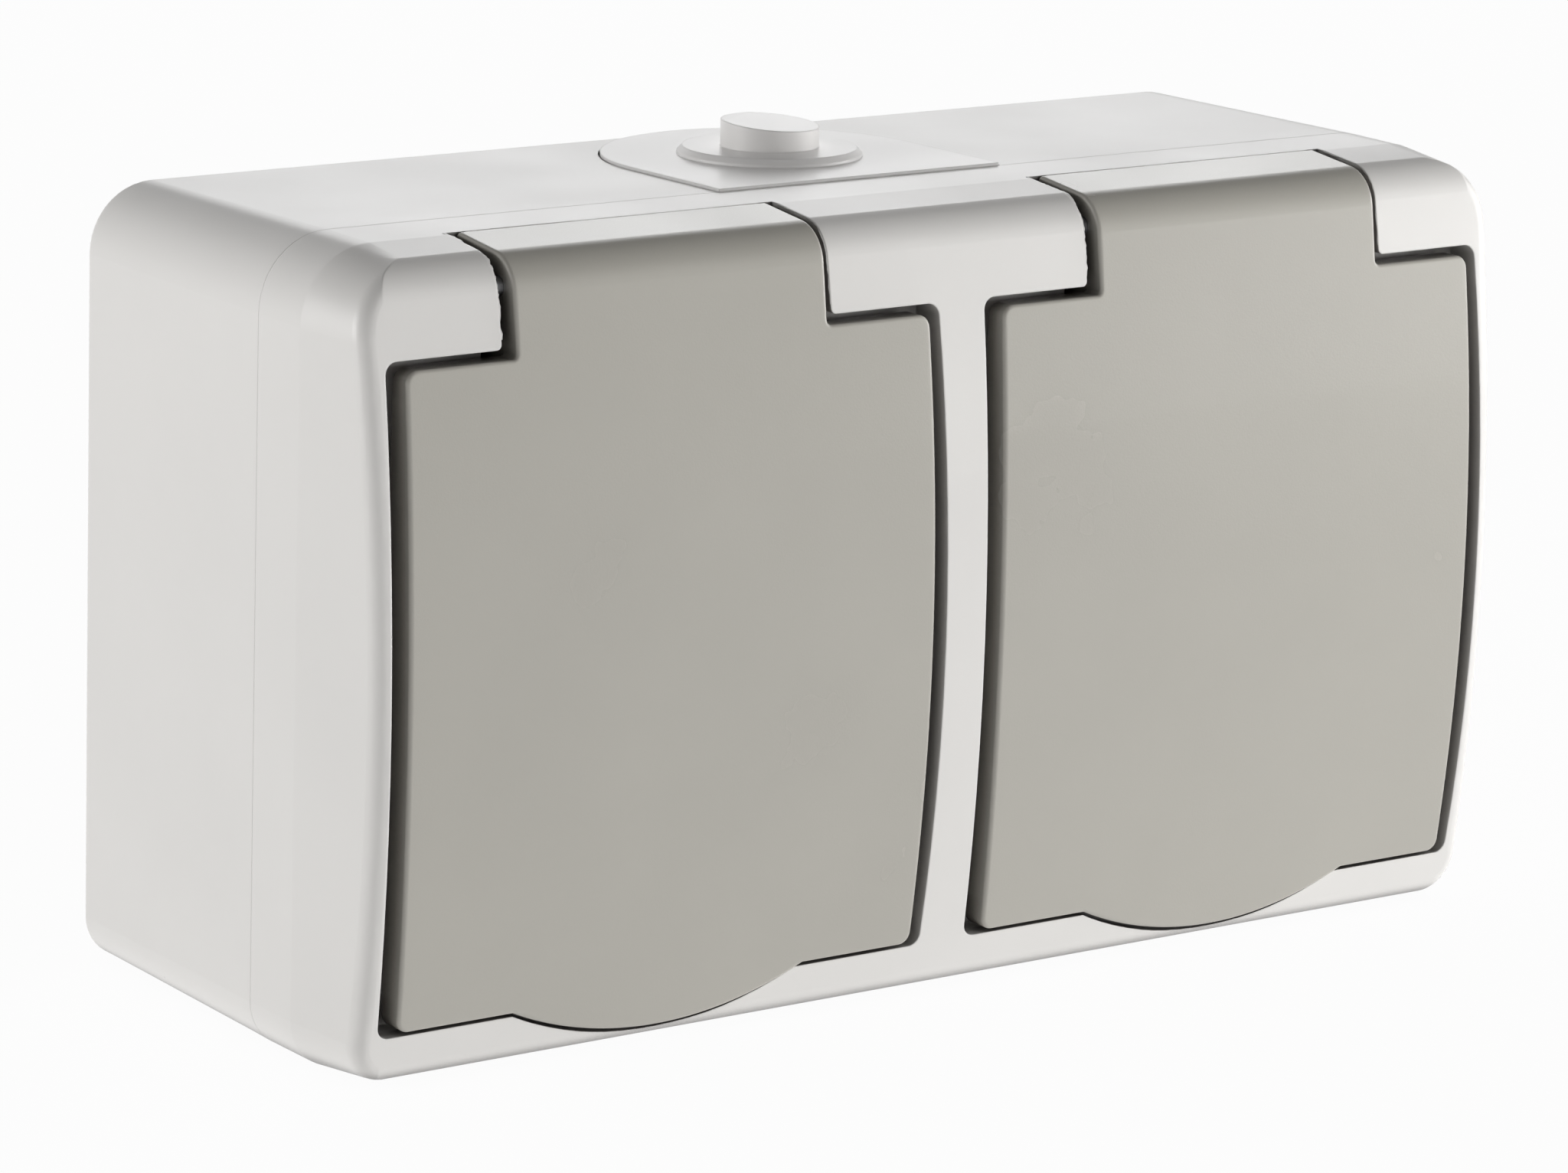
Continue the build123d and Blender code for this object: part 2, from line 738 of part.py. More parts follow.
def socket_face():
    """Round well for a plug with pin holes, side guides, earth windows and a mounting flange."""
    pin_points = [(-pin_pitch / 2, well_z), (pin_pitch / 2, well_z)]
    with BuildPart() as face:
        with BuildSketch(facing(base_front_depth)):
            with Locations((0, well_z)):
                Circle(well_outer)
        extrude(amount=well_front_depth - base_front_depth)
        with BuildSketch(facing(pocket_floor_depth)):
            with Locations((0, well_z)):
                Circle(well_flange_radius)
        extrude(amount=well_flange_thickness)
        fillet(face.edges().group_by(Axis.Y)[0], well_edge_round)
        with BuildSketch(facing(base_front_depth)):
            with Locations((0, well_z)):
                Circle(well_radius)
        extrude(amount=well_skirt, mode=Mode.SUBTRACT)
        with BuildSketch(facing(well_floor_depth)):
            with Locations((0, well_z)):
                Circle(well_radius)
        extrude(amount=well_depth, mode=Mode.SUBTRACT)
        with BuildSketch(facing(window_near)):
            with Locations((0, well_z)):
                Rectangle(window_width, 3 * well_radius)
        extrude(amount=window_far - window_near, mode=Mode.SUBTRACT)
        for side in (-1, 1):
            with BuildSketch(facing(well_floor_depth)):
                with Locations((side * (well_radius - guide_height / 2 + well_wall / 4), well_z)):
                    Rectangle(guide_height + well_wall / 2, guide_width)
            extrude(amount=well_depth - well_edge_round)
        with BuildSketch(facing(base_front_depth)):
            with Locations(*pin_points):
                Circle(pin_hole_radius)
        extrude(amount=well_depth, mode=Mode.SUBTRACT)
        head_hole = face_screw_head_radius + screw_through_gap / 2
        with Locations(facing(well_floor_depth)):
            with Locations((0, well_z)):
                CounterSinkHole(screw_radius + screw_through_gap, head_hole)
    return face.part


def socket_base():
    """Insulating block with chambers for the contacts, a slot for the earth strip and screw ears."""
    block_depth = base_front_depth - base_back_depth
    chamber_outer = base_height / 2 - chamber_end_wall
    with BuildPart() as base:
        with BuildSketch(facing(base_back_depth)):
            with Locations((0, well_z)):
                Rectangle(base_width, base_height)
        extrude(amount=block_depth)
        fillet(base.edges().filter_by(Axis.Y), base_edge_round)
        with BuildSketch(facing(base_seat_depth)):
            with Locations((-ear_x, well_z - ear_z), (ear_x, well_z + ear_z)):
                Rectangle(base_ear_size + overcut, base_ear_size + overcut)
        extrude(amount=block_depth, mode=Mode.SUBTRACT)
        with BuildSketch(facing(base_back_depth)):
            with Locations((-ear_x, well_z - ear_z), (ear_x, well_z + ear_z)):
                Circle(screw_radius + screw_through_gap)
        extrude(amount=base_ear_thickness, mode=Mode.SUBTRACT)
        with BuildSketch(facing(chamber_floor_depth)):
            for side in (-1, 1):
                middle = well_z - side * (chamber_outer - chamber_inner) / 2
                with Locations((side * pin_pitch / 2, middle)):
                    Rectangle(chamber_width, chamber_inner + chamber_outer)
        extrude(amount=block_depth, mode=Mode.SUBTRACT)
        with BuildSketch(facing(base_front_depth - strip)):
            with Locations((0, well_z)):
                Rectangle(earth_width + 2 * loose_gap, base_height + 2 * overcut)
        extrude(amount=block_depth, mode=Mode.SUBTRACT)
        with BuildSketch(facing(base_front_depth - strip - clamp_height)):
            with Locations((0, well_z - clamp_offset)):
                Rectangle(clamp_size + 2 * loose_gap, clamp_size + 2 * loose_gap)
        extrude(amount=block_depth, mode=Mode.SUBTRACT)
        with BuildSketch(facing(base_front_depth - strip)):
            with Locations((0, well_z)):
                Circle(screw_radius + screw_hole_gap)
        tip_depth = well_floor_depth - face_screw_length - screw_tip_gap
        extrude(amount=tip_depth - base_front_depth + strip, mode=Mode.SUBTRACT)
    return base.part


def contact(side):
    """Sprung fork that grips one plug pin, with a tail to its terminal; side is -1 or 1."""
    floor = chamber_floor_depth + strip / 2
    half = pin_hole_radius + contact_pin_gap + strip / 2
    tip = base_front_depth - contact_set_back
    x = side * pin_pitch / 2
    outline = [
        (x - half - contact_grip, -tip),
        (x - half + contact_grip, -tip + contact_lead),
        (x - half, -tip + contact_taper),
        (x - half, -floor),
        (x + half, -floor),
        (x + half, -tip + contact_taper),
        (x + half - contact_grip, -tip + contact_lead),
        (x + half + contact_grip, -tip),
    ]
    tail_end = clamp_offset + clamp_size / 2
    with BuildPart() as fork:
        with BuildSketch(Plane.XY.offset(well_z - contact_height / 2)):
            with BuildLine():
                Polyline(*outline)
            trace(line_width=strip)
        extrude(amount=contact_height)
        with BuildSketch(facing(chamber_floor_depth)):
            with Locations((x, well_z - side * tail_end / 2)):
                Rectangle(tail_width, tail_end)
        extrude(amount=strip)
    return fork.part


def clamp(x, z, back):
    """Brass clamp block with a wire hole and a tapped hole for its screw."""
    with BuildPart() as block:
        with BuildSketch(facing(back)):
            with Locations((x, z)):
                Rectangle(clamp_size, clamp_size)
        extrude(amount=clamp_height)
        chamfer(block.edges().filter_by(Axis.Y), strip / 2)
        with BuildSketch(across(x - clamp_size)):
            with Locations((-back - clamp_wire_radius - strip, z)):
                Circle(clamp_wire_radius)
        extrude(amount=2 * clamp_size, mode=Mode.SUBTRACT)
        with BuildSketch(facing(back + clamp_wire_radius)):
            with Locations((x, z)):
                Circle(terminal_screw_radius + screw_hole_gap)
        extrude(amount=clamp_height, mode=Mode.SUBTRACT)
    return block.part


def earth_clip():
    """Bent strip that crosses the base and reaches through both windows into the well."""
    level = -(base_front_depth - strip / 2)
    bump_depth = -(window_near + window_far) / 2
    arm = well_outer + earth_arm_gap + strip / 2
    half = [
        (0, 0),
        (level, arm),
        (-window_near, arm),
        (bump_depth, arm - earth_bump),
        (-(window_far - strip), arm),
        (-(window_far + earth_tip), arm),
    ]
    with BuildPart() as clip:
        with BuildSketch(across(-earth_width / 2)):
            with BuildLine():
                upper = [(y, well_z + z) for y, z in half[1:]]
                lower = [(y, well_z - z) for y, z in half[1:]]
                Polyline(*reversed(upper), *lower)
            trace(line_width=strip)
        extrude(amount=earth_width)
        with BuildSketch(facing(base_front_depth - 2 * strip)):
            with Locations((0, well_z)):
                Circle(screw_radius + screw_through_gap)
            with Locations((0, well_z - clamp_offset)):
                Circle(terminal_screw_radius + screw_through_gap)
        extrude(amount=4 * strip, mode=Mode.SUBTRACT)
    return clip.part


def screw(x, z, seat, length, shank, head_radius, head):
    """Slotted screw whose head sits on a seat depth and whose shank runs back towards the wall."""
    with BuildPart() as piece:
        with BuildSketch(facing(seat - length)):
            with Locations((x, z)):
                Circle(shank)
        extrude(amount=length)
        with BuildSketch(facing(seat)):
            with Locations((x, z)):
                Circle(head_radius)
        extrude(amount=head)
        with BuildSketch(facing(seat + head - slot_depth)):
            with Locations((x, z)):
                Rectangle(2 * (head_radius + overcut), slot_width)
        extrude(amount=slot_depth + overcut, mode=Mode.SUBTRACT)
    return piece.part


def face_screw(x):
    """Countersunk screw through the middle of a socket face into its base."""
    cone_depth = face_screw_head_radius - screw_radius
    with BuildPart() as piece:
        with BuildSketch(facing(well_floor_depth - face_screw_length)):
            with Locations((x, well_z)):
                Circle(screw_radius)
        extrude(amount=face_screw_length)
        with BuildSketch(facing(well_floor_depth - cone_depth)):
            with Locations((x, well_z)):
                Circle(screw_radius)
        with BuildSketch(facing(well_floor_depth)):
            with Locations((x, well_z)):
                Circle(face_screw_head_radius)
        loft()
        with BuildSketch(facing(well_floor_depth - slot_depth)):
            with Locations((x, well_z)):
                Rectangle(2 * (face_screw_head_radius + overcut), slot_width)
        extrude(amount=slot_depth + overcut, mode=Mode.SUBTRACT)
    return piece.part


def terminal_screw(x, z, clamp_back):
    """Screw of one clamp, its head clear of the clamp as when it is open for a wire."""
    seat = clamp_back + clamp_height + strip
    shank, head = terminal_screw_radius, terminal_head_radius
    return screw(x, z, seat, terminal_screw_length, shank, head, terminal_head)


os.makedirs("parts", exist_ok=True)
save(back_box(), "back_box")
save(cable_entry_insert(), "cable_entry_insert")
save(box_gasket(), "box_gasket")
save(front_cover(), "front_cover")
at_sides(lid(), "lid", lid_side_play)
at_sides(lid_seal(), "lid_seal", lid_side_play)
at_sides(hinge_pin(), "hinge_pin")
at_sides(lid_spring(), "lid_spring", lid_side_play)
at_sides(socket_face(), "socket_face")
at_sides(socket_base(), "socket_base")
at_sides(earth_clip(), "earth_clip")
clamp_back = chamber_floor_depth + strip
earth_clamp_back = base_front_depth - strip - clamp_height
for contact_side, contact_name in ((-1, "live"), (1, "neutral")):
    at_sides(contact(contact_side), f"{contact_name}_contact")
    clamp_x = contact_side * pin_pitch / 2
    at_sides(clamp(clamp_x, well_z - contact_side * clamp_offset, clamp_back), f"{contact_name}_clamp")
at_sides(clamp(0, well_z - clamp_offset, earth_clamp_back), "earth_clamp")
save(Compound(children=[face_screw(x) for x in side_names.values()]), "face_screws")
base_screws = [
    screw(x, z, base_seat_depth, base_screw_length, screw_radius, base_screw_head_radius, base_screw_head)
    for x, z in base_screw_points()
]
save(Compound(children=base_screws), "base_screws")
terminal_screws = []
for x in side_names.values():
    for contact_side in (-1, 1):
        screw_x = x + contact_side * pin_pitch / 2
        terminal_screws.append(terminal_screw(screw_x, well_z - contact_side * clamp_offset, clamp_back))
    terminal_screws.append(terminal_screw(x, well_z - clamp_offset, earth_clamp_back))
save(Compound(children=terminal_screws), "terminal_screws")
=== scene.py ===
"""Looks of a surface-mounted double wall socket with two sprung lids.

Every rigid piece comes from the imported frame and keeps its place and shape. This script gives the pieces
their finishes, adds the small things that a mould and a tool leave behind, and sets the floor, the light
and the camera. Lengths are in metres, X runs to the right along the wall, -Y faces the room and Z is up.
"""
from __future__ import annotations

import json
import logging
import math
import random
from dataclasses import dataclass, field
from enum import Enum

import bmesh
import bpy
from mathutils import Matrix, Vector

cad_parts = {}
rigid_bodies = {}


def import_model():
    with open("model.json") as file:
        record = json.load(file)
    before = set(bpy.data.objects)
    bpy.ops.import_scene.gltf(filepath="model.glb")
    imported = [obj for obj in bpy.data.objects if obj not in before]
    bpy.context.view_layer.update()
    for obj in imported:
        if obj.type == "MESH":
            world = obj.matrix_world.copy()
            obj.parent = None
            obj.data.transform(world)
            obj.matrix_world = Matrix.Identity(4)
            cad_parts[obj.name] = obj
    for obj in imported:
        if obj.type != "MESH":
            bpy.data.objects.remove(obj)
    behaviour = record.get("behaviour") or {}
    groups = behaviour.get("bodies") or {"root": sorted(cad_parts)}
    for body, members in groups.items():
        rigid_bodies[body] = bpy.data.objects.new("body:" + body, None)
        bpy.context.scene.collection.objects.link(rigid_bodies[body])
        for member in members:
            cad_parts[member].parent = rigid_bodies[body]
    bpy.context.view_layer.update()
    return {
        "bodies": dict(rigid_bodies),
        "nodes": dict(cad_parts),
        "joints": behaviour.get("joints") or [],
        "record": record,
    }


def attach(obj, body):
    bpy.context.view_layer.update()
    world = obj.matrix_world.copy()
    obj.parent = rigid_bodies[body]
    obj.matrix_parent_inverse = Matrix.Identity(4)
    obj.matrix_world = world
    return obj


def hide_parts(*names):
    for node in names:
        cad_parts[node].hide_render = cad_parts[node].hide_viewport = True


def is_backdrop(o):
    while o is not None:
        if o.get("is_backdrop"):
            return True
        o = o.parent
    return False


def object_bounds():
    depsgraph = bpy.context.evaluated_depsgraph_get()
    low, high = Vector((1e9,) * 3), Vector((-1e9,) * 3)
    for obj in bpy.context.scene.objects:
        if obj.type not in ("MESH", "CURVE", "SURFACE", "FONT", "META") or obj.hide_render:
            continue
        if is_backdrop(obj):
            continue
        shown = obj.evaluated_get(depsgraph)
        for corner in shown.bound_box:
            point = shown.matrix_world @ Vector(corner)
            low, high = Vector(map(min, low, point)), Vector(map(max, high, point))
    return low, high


LOG = logging.getLogger("wall_socket")
MM = 0.001
MM_PER_METRE = 1000.0
# Distance between the middles of the two sockets, in millimetres.
SOCKET_PITCH = 74.5
# Red, green, blue and alpha, each from 0 to 1, as a shader takes them.
Colour = tuple[float, float, float, float]


class Side(Enum):
    """The two halves of the double socket."""

    LEFT = "left"
    RIGHT = "right"

    def node(self, piece: str) -> str:
        """Name of this side's frame node for a piece."""
        return f"{self.value}_{piece}"

    def body(self) -> str:
        """Name of the moving body that carries this side's lid."""
        return f"{self.value}_lid_body"

    def middle(self) -> float:
        """Middle of this side's socket along X, in millimetres."""
        return SOCKET_PITCH / 2 * (-1 if self is Side.LEFT else 1)


def linear(red: int, green: int, blue: int) -> Colour:
    """Turn a colour as seen on a screen into the linear values that a shader takes.

    Args:
        red: Red from 0 to 255.
        green: Green from 0 to 255.
        blue: Blue from 0 to 255.

    Returns:
        Red, green, blue and an alpha of 1, all from 0 to 1.
    """
    parts = []
    for channel in (red, green, blue):
        share = channel / 255
        parts.append(share / 12.92 if share <= 0.04045 else ((share + 0.055) / 1.055) ** 2.4)
    return parts[0], parts[1], parts[2], 1.0


class Graph:
    """Small helper that adds and joins nodes in one node tree."""

    def __init__(self, tree: bpy.types.NodeTree) -> None:
        """Keep the tree that the nodes go into.

        Args:
            tree: Tree of a material, a world or a node group.
        """
        self.tree = tree

    def add(self, kind: str, **settings: object) -> bpy.types.Node:
        """Add one node.

        Args:
            kind: Blender's class name of the node.
            **settings: Properties of the node, such as operation.

        Returns:
            The new node.
        """
        node = self.tree.nodes.new(kind)
        for name, value in settings.items():
            setattr(node, name, value)
        return node

    def join(self, source: bpy.types.NodeSocket, target: bpy.types.NodeSocket) -> None:
        """Link an output socket to an input socket."""
        self.tree.links.new(source, target)

    def give(self, target: bpy.types.NodeSocket, value: object) -> None:
        """Feed an input socket from another socket, or set it to a plain value."""
        if isinstance(value, bpy.types.NodeSocket):
            self.join(value, target)
        else:
            target.default_value = value

    def place(self) -> bpy.types.NodeSocket:
        """Coordinates that stay with the piece."""
        return self.add("ShaderNodeTexCoord").outputs["Object"]

    def effect(self, group: bpy.types.NodeTree, **values: float) -> bpy.types.Node:
        """Place a shared node group.

        Args:
            group: The group.
            **values: Values of its inputs, by their names in lower case with underscores.

        Returns:
            The group's node.
        """
        node = self.add("ShaderNodeGroup", node_tree=group)
        for name, value in values.items():
            node.inputs[name.replace("_", " ").title()].default_value = value
        return node

    def bump(
        self, height: bpy.types.NodeSocket, distance: float, under: bpy.types.NodeSocket | None = None
    ) -> bpy.types.NodeSocket:
        """Raise a surface by a height that changes over it.

        Args:
            height: The height, from 0 to 1.
            distance: What a height of 1 stands for, in millimetres.
            under: Normal that the bump goes over, where there is one.

        Returns:
            The normal with the bump.
        """
        node = self.add("ShaderNodeBump")
        node.inputs["Distance"].default_value = distance * MM
        self.join(height, node.inputs["Height"])
        if under is not None:
            self.join(under, node.inputs["Normal"])
        return node.outputs["Normal"]

    def maths(self, operation: str, first: object, second: object = 0.0) -> bpy.types.NodeSocket:
        """Add a math node whose operands are sockets or plain numbers.

        Args:
            operation: Name of the operation, such as MULTIPLY.
            first: First operand.
            second: Second operand.

        Returns:
            The result's socket.
        """
        node = self.add("ShaderNodeMath", operation=operation)
        for slot, operand in enumerate((first, second)):
            self.give(node.inputs[slot], operand)
        return node.outputs[0]

    def ramp(self, value: bpy.types.NodeSocket, low: float, high: float) -> bpy.types.NodeSocket:
        """Stretch a value between two limits to 0 and 1.

        Args:
            value: The value to stretch.
            low: What becomes 0.
            high: What becomes 1.

        Returns:
            The clamped result's socket.
        """
        node = self.add("ShaderNodeMapRange", clamp=True)
        self.join(value, node.inputs["Value"])
        node.inputs["From Min"].default_value = low
        node.inputs["From Max"].default_value = high
        return node.outputs["Result"]

    def noise(
        self, place: bpy.types.NodeSocket, scale: bpy.types.NodeSocket, detail: float
    ) -> bpy.types.NodeSocket:
        """Add a noise texture.

        Args:
            place: Coordinates.
            scale: Scale of the noise.
            detail: Octaves of the noise.

        Returns:
            The noise value's socket.
        """
        node = self.add("ShaderNodeTexNoise")
        self.join(place, node.inputs["Vector"])
        self.join(scale, node.inputs["Scale"])
        node.inputs["Detail"].default_value = detail
        return node.outputs["Fac"]

    def tint(self, share: object, under: object, over: object) -> bpy.types.NodeSocket:
        """Mix two colours.

        Args:
            share: Share of the upper colour, a socket or a number.
            under: Lower colour, a socket or a value.
            over: Upper colour, a socket or a value.

        Returns:
            The mixed colour's socket.
        """
        node = self.add("ShaderNodeMix", data_type="RGBA")
        factor, colour_a, colour_b, colour_out = 0, 6, 7, 2
        for slot, operand in ((factor, share), (colour_a, under), (colour_b, over)):
            self.give(node.inputs[slot], operand)
        return node.outputs[colour_out]


class SharedEffects:
    """Shader node groups that several finishes use, each built once.

    Attributes:
        COARSE_SHARE: Scale of the grain's waviness, as a share of the grain's own.
        BARE_CELLS: Share of the places for a speck that stay bare.
        LINE_STRETCH: Scale of the drawn lines along X, as a share of the scale across them.
        SAMPLES: Rays that look for an edge or a gap.
    """

    COARSE_SHARE = 0.06
    BARE_CELLS = 0.8
    LINE_STRETCH = 0.04
    SAMPLES = 6

    def __init__(self) -> None:
        """Build every group."""
        self.grain = self._grain()
        self.mottle = self._mottle()
        self.specks = self._specks()
        self.edge = self._edge()
        self.scratches = self._scratches()
        self.shade_in_gaps = self._shade_in_gaps()

    @staticmethod
    def _start(
        name: str, inputs: dict[str, float], outputs: dict[str, str]
    ) -> tuple[Graph, bpy.types.Node, bpy.types.Node]:
        """Start a group with its sockets.

        Args:
            name: Name of the group.
            inputs: Names and default values of the float inputs.
            outputs: Names and socket types of the outputs.

        Returns:
            The group's graph, and its nodes of inputs and of outputs.
        """
        tree = bpy.data.node_groups.new(name, "ShaderNodeTree")
        for label, default in inputs.items():
            socket = tree.interface.new_socket(label, in_out="INPUT", socket_type="NodeSocketFloat")
            socket.default_value = default
        for label, kind in outputs.items():
            tree.interface.new_socket(label, in_out="OUTPUT", socket_type=kind)
        graph = Graph(tree)
        return graph, graph.add("NodeGroupInput"), graph.add("NodeGroupOutput")

    def _grain(self) -> bpy.types.NodeTree:
        """Spark-eroded grain of a mould: fine cells over a softer waviness."""
        graph, given, put = self._start(
            "mould_grain", {"Grain Size": 0.3, "Waviness": 0.2}, {"Height": "NodeSocketFloat"}
        )
        place = graph.place()
        per_metre = graph.maths("DIVIDE", MM_PER_METRE, given.outputs["Grain Size"])
        fine = graph.noise(place, per_metre, 3.0)
        coarse = graph.noise(place, graph.maths("MULTIPLY", per_metre, self.COARSE_SHARE), 1.0)
        height = graph.maths("ADD", fine, graph.maths("MULTIPLY", coarse, given.outputs["Waviness"]))
        graph.join(height, put.inputs["Height"])
        return graph.tree

    def _mottle(self) -> bpy.types.NodeTree:
        """Slow unevenness of colour and gloss, as flow and handling leave it."""
        graph, given, put = self._start(
            "flow_mottle", {"Patch Size": 20.0, "Contrast": 1.0}, {"Mask": "NodeSocketFloat"}
        )
        place = graph.place()
        per_metre = graph.maths("DIVIDE", MM_PER_METRE, given.outputs["Patch Size"])
        patches = graph.ramp(graph.noise(place, per_metre, 4.0), 0.3, 0.7)
        graph.join(graph.maths("MULTIPLY", patches, given.outputs["Contrast"]), put.inputs["Mask"])
        return graph.tree

    def _specks(self) -> bpy.types.NodeTree:
        """A few small dark specks of dirt or burnt pigment."""
        graph, given, put = self._start(
            "dark_specks", {"Spacing": 9.0, "Speck Size": 0.14}, {"Mask": "NodeSocketFloat"}
        )
        place = graph.place()
        cells = graph.add("ShaderNodeTexVoronoi", feature="F1")
        graph.join(place, cells.inputs["Vector"])
        graph.join(graph.maths("DIVIDE", MM_PER_METRE, given.outputs["Spacing"]), cells.inputs["Scale"])
        reach = graph.maths("DIVIDE", given.outputs["Speck Size"], given.outputs["Spacing"])
        near = graph.maths("LESS_THAN", cells.outputs["Distance"], reach)
        split = graph.add("ShaderNodeSeparateColor")
        graph.join(cells.outputs["Color"], split.inputs["Color"])
        rare = graph.maths("GREATER_THAN", split.outputs["Red"], self.BARE_CELLS)
        graph.join(graph.maths("MULTIPLY", near, rare), put.inputs["Mask"])
        return graph.tree

    def _edge(self) -> bpy.types.NodeTree:
        """Rounded shading along sharp edges, and a mask of where they are, which the plastics use for a
        painted highlight.
        """
        graph, given, put = self._start(
            "soft_edge", {"Radius": 0.3}, {"Normal": "NodeSocketVector", "Mask": "NodeSocketFloat"}
        )
        rounded = graph.add("ShaderNodeBevel", samples=self.SAMPLES)
        graph.join(graph.maths("MULTIPLY", given.outputs["Radius"], MM), rounded.inputs["Radius"])
        surface = graph.add("ShaderNodeNewGeometry")
        alike = graph.add("ShaderNodeVectorMath", operation="DOT_PRODUCT")
        graph.join(rounded.outputs["Normal"], alike.inputs[0])
        graph.join(surface.outputs["Normal"], alike.inputs[1])
        mask = graph.ramp(alike.outputs["Value"], 0.995, 0.9)
        graph.join(rounded.outputs["Normal"], put.inputs["Normal"])
        graph.join(mask, put.inputs["Mask"])
        return graph.tree

    def _shade_in_gaps(self) -> bpy.types.NodeTree:
        """Painted shade: a dark colour in narrow gaps and inner corners, where little open space is
        around.
        """
        graph, given, put = self._start(
            "painted_gap_shade", {"Gap Width": 4.0, "Strength": 1.0}, {"Mask": "NodeSocketFloat"}
        )
        hidden = graph.add("ShaderNodeAmbientOcclusion", samples=self.SAMPLES)
        graph.join(graph.maths("MULTIPLY", given.outputs["Gap Width"], MM), hidden.inputs["Distance"])
        # Painted shade: the more closed in a point is, the more of the shade's colour it takes.
        depth = graph.ramp(hidden.outputs["AO"], 0.62, 0.12)
        graph.join(graph.maths("MULTIPLY", depth, given.outputs["Strength"]), put.inputs["Mask"])
        return graph.tree

    def _scratches(self) -> bpy.types.NodeTree:
        """Fine drawn lines of worked metal, along X."""
        graph, given, put = self._start(
            "drawn_lines", {"Line Width": 0.06}, {"Height": "NodeSocketFloat"}
        )
        place = graph.place()
        stretch = graph.add("ShaderNodeVectorMath", operation="MULTIPLY")
        stretch.inputs[1].default_value = (self.LINE_STRETCH, 1.0, 1.0)
        graph.join(place, stretch.inputs[0])
        per_metre = graph.maths("DIVIDE", MM_PER_METRE, given.outputs["Line Width"])
        graph.join(graph.noise(stretch.outputs["Vector"], per_metre, 2.0), put.inputs["Height"])
        return graph.tree


def new_material(name: str) -> tuple[bpy.types.Material, Graph, bpy.types.Node]:
    """Start a material with a single Principled shader.

    Args:
        name: Name of the material.

    Returns:
        The material, its graph and its Principled node.
    """
    material = bpy.data.materials.new(name)
    material.use_nodes = True
    graph = Graph(material.node_tree)
    shader = next(node for node in material.node_tree.nodes if node.type == "BSDF_PRINCIPLED")
    return material, graph, shader


@dataclass(frozen=True)
class MouldedPlastic:
    """Injection-moulded plastic.

    Attributes:
        name: Name of the finish.
        colour: Colour of the plastic.
        edge_highlight: Colour of the painted highlight along its rounded edges.
        roughness: Roughness between the grain's high points.
        grain_size: Size of the grain in millimetres.
        grain_height: Height of the grain in millimetres.
        mottle: How much darker the slow patches are, from 0 to 1.
        speck_spacing: Mean distance between places for a dark speck, in millimetres.
        edge_radius: Radius of the rounded shading at edges, in millimetres.
        painted_gap_shade: How much of the painted shade's colour narrow gaps take, from 0 to 1.
        edge_highlight_share: How much of the painted highlight's colour the edges take, from 0 to 1.
        speck_share: How dark the specks are, from 0 to 1.
        dulling: How much rougher the slow patches are, for each unit of mottle.
        black: Colour that the slow patches lean to.
        speck: Colour of the specks.
        gap_shade_colour: Colour of the painted shade in narrow gaps.
    """

    name: str
    colour: Colour
    # Lighter colour of the painted highlight along edges.
    edge_highlight: Colour
    roughness: float = 0.4
    grain_size: float = 0.3
    grain_height: float = 0.004
    mottle: float = 0.03
    speck_spacing: float = 9.0
    edge_radius: float = 0.3
    painted_gap_shade: float = 0.9
    edge_highlight_share: float = 0.5
    speck_share: float = 0.35
    dulling: float = 1.5
    black: Colour = (0.0, 0.0, 0.0, 1.0)
    speck: Colour = linear(92, 80, 66)
    # Dark brown of the painted shade in narrow gaps.
    gap_shade_colour: Colour = linear(38, 27, 20)

    def build(self, effects: SharedEffects) -> bpy.types.Material:
        """Make the material.

        Args:
            effects: The shared node groups.

        Returns:
            The material.
        """
        material, graph, shader = new_material(self.name)
        edge = graph.effect(effects.edge, radius=self.edge_radius)
        mottle = graph.effect(effects.mottle, contrast=self.mottle).outputs["Mask"]
        specks = graph.effect(effects.specks, spacing=self.speck_spacing).outputs["Mask"]
        grain = graph.effect(effects.grain, grain_size=self.grain_size).outputs["Height"]
        shade_in_gaps = graph.effect(effects.shade_in_gaps, strength=self.painted_gap_shade).outputs["Mask"]
        shade = graph.tint(mottle, self.colour, self.black)
        # Painted highlight: sharp edges are tinted towards a lighter colour.
        highlighted = graph.tint(graph.maths("MULTIPLY", edge.outputs["Mask"], self.edge_highlight_share), shade, self.edge_highlight)
        dotted = graph.tint(graph.maths("MULTIPLY", specks, self.speck_share), highlighted, self.speck)
        # Painted shade: narrow gaps and inner corners are tinted towards a dark brown.
        graph.join(graph.tint(shade_in_gaps, dotted, self.gap_shade_colour), shader.inputs["Base Color"])
        dull = graph.maths("ADD", graph.maths("MULTIPLY", mottle, self.dulling), self.roughness)
        graph.join(dull, shader.inputs["Roughness"])
        surface = graph.bump(grain, self.grain_height, edge.outputs["Normal"])
        graph.join(surface, shader.inputs["Normal"])
        shader.inputs["IOR"].default_value = 1.5
        return material


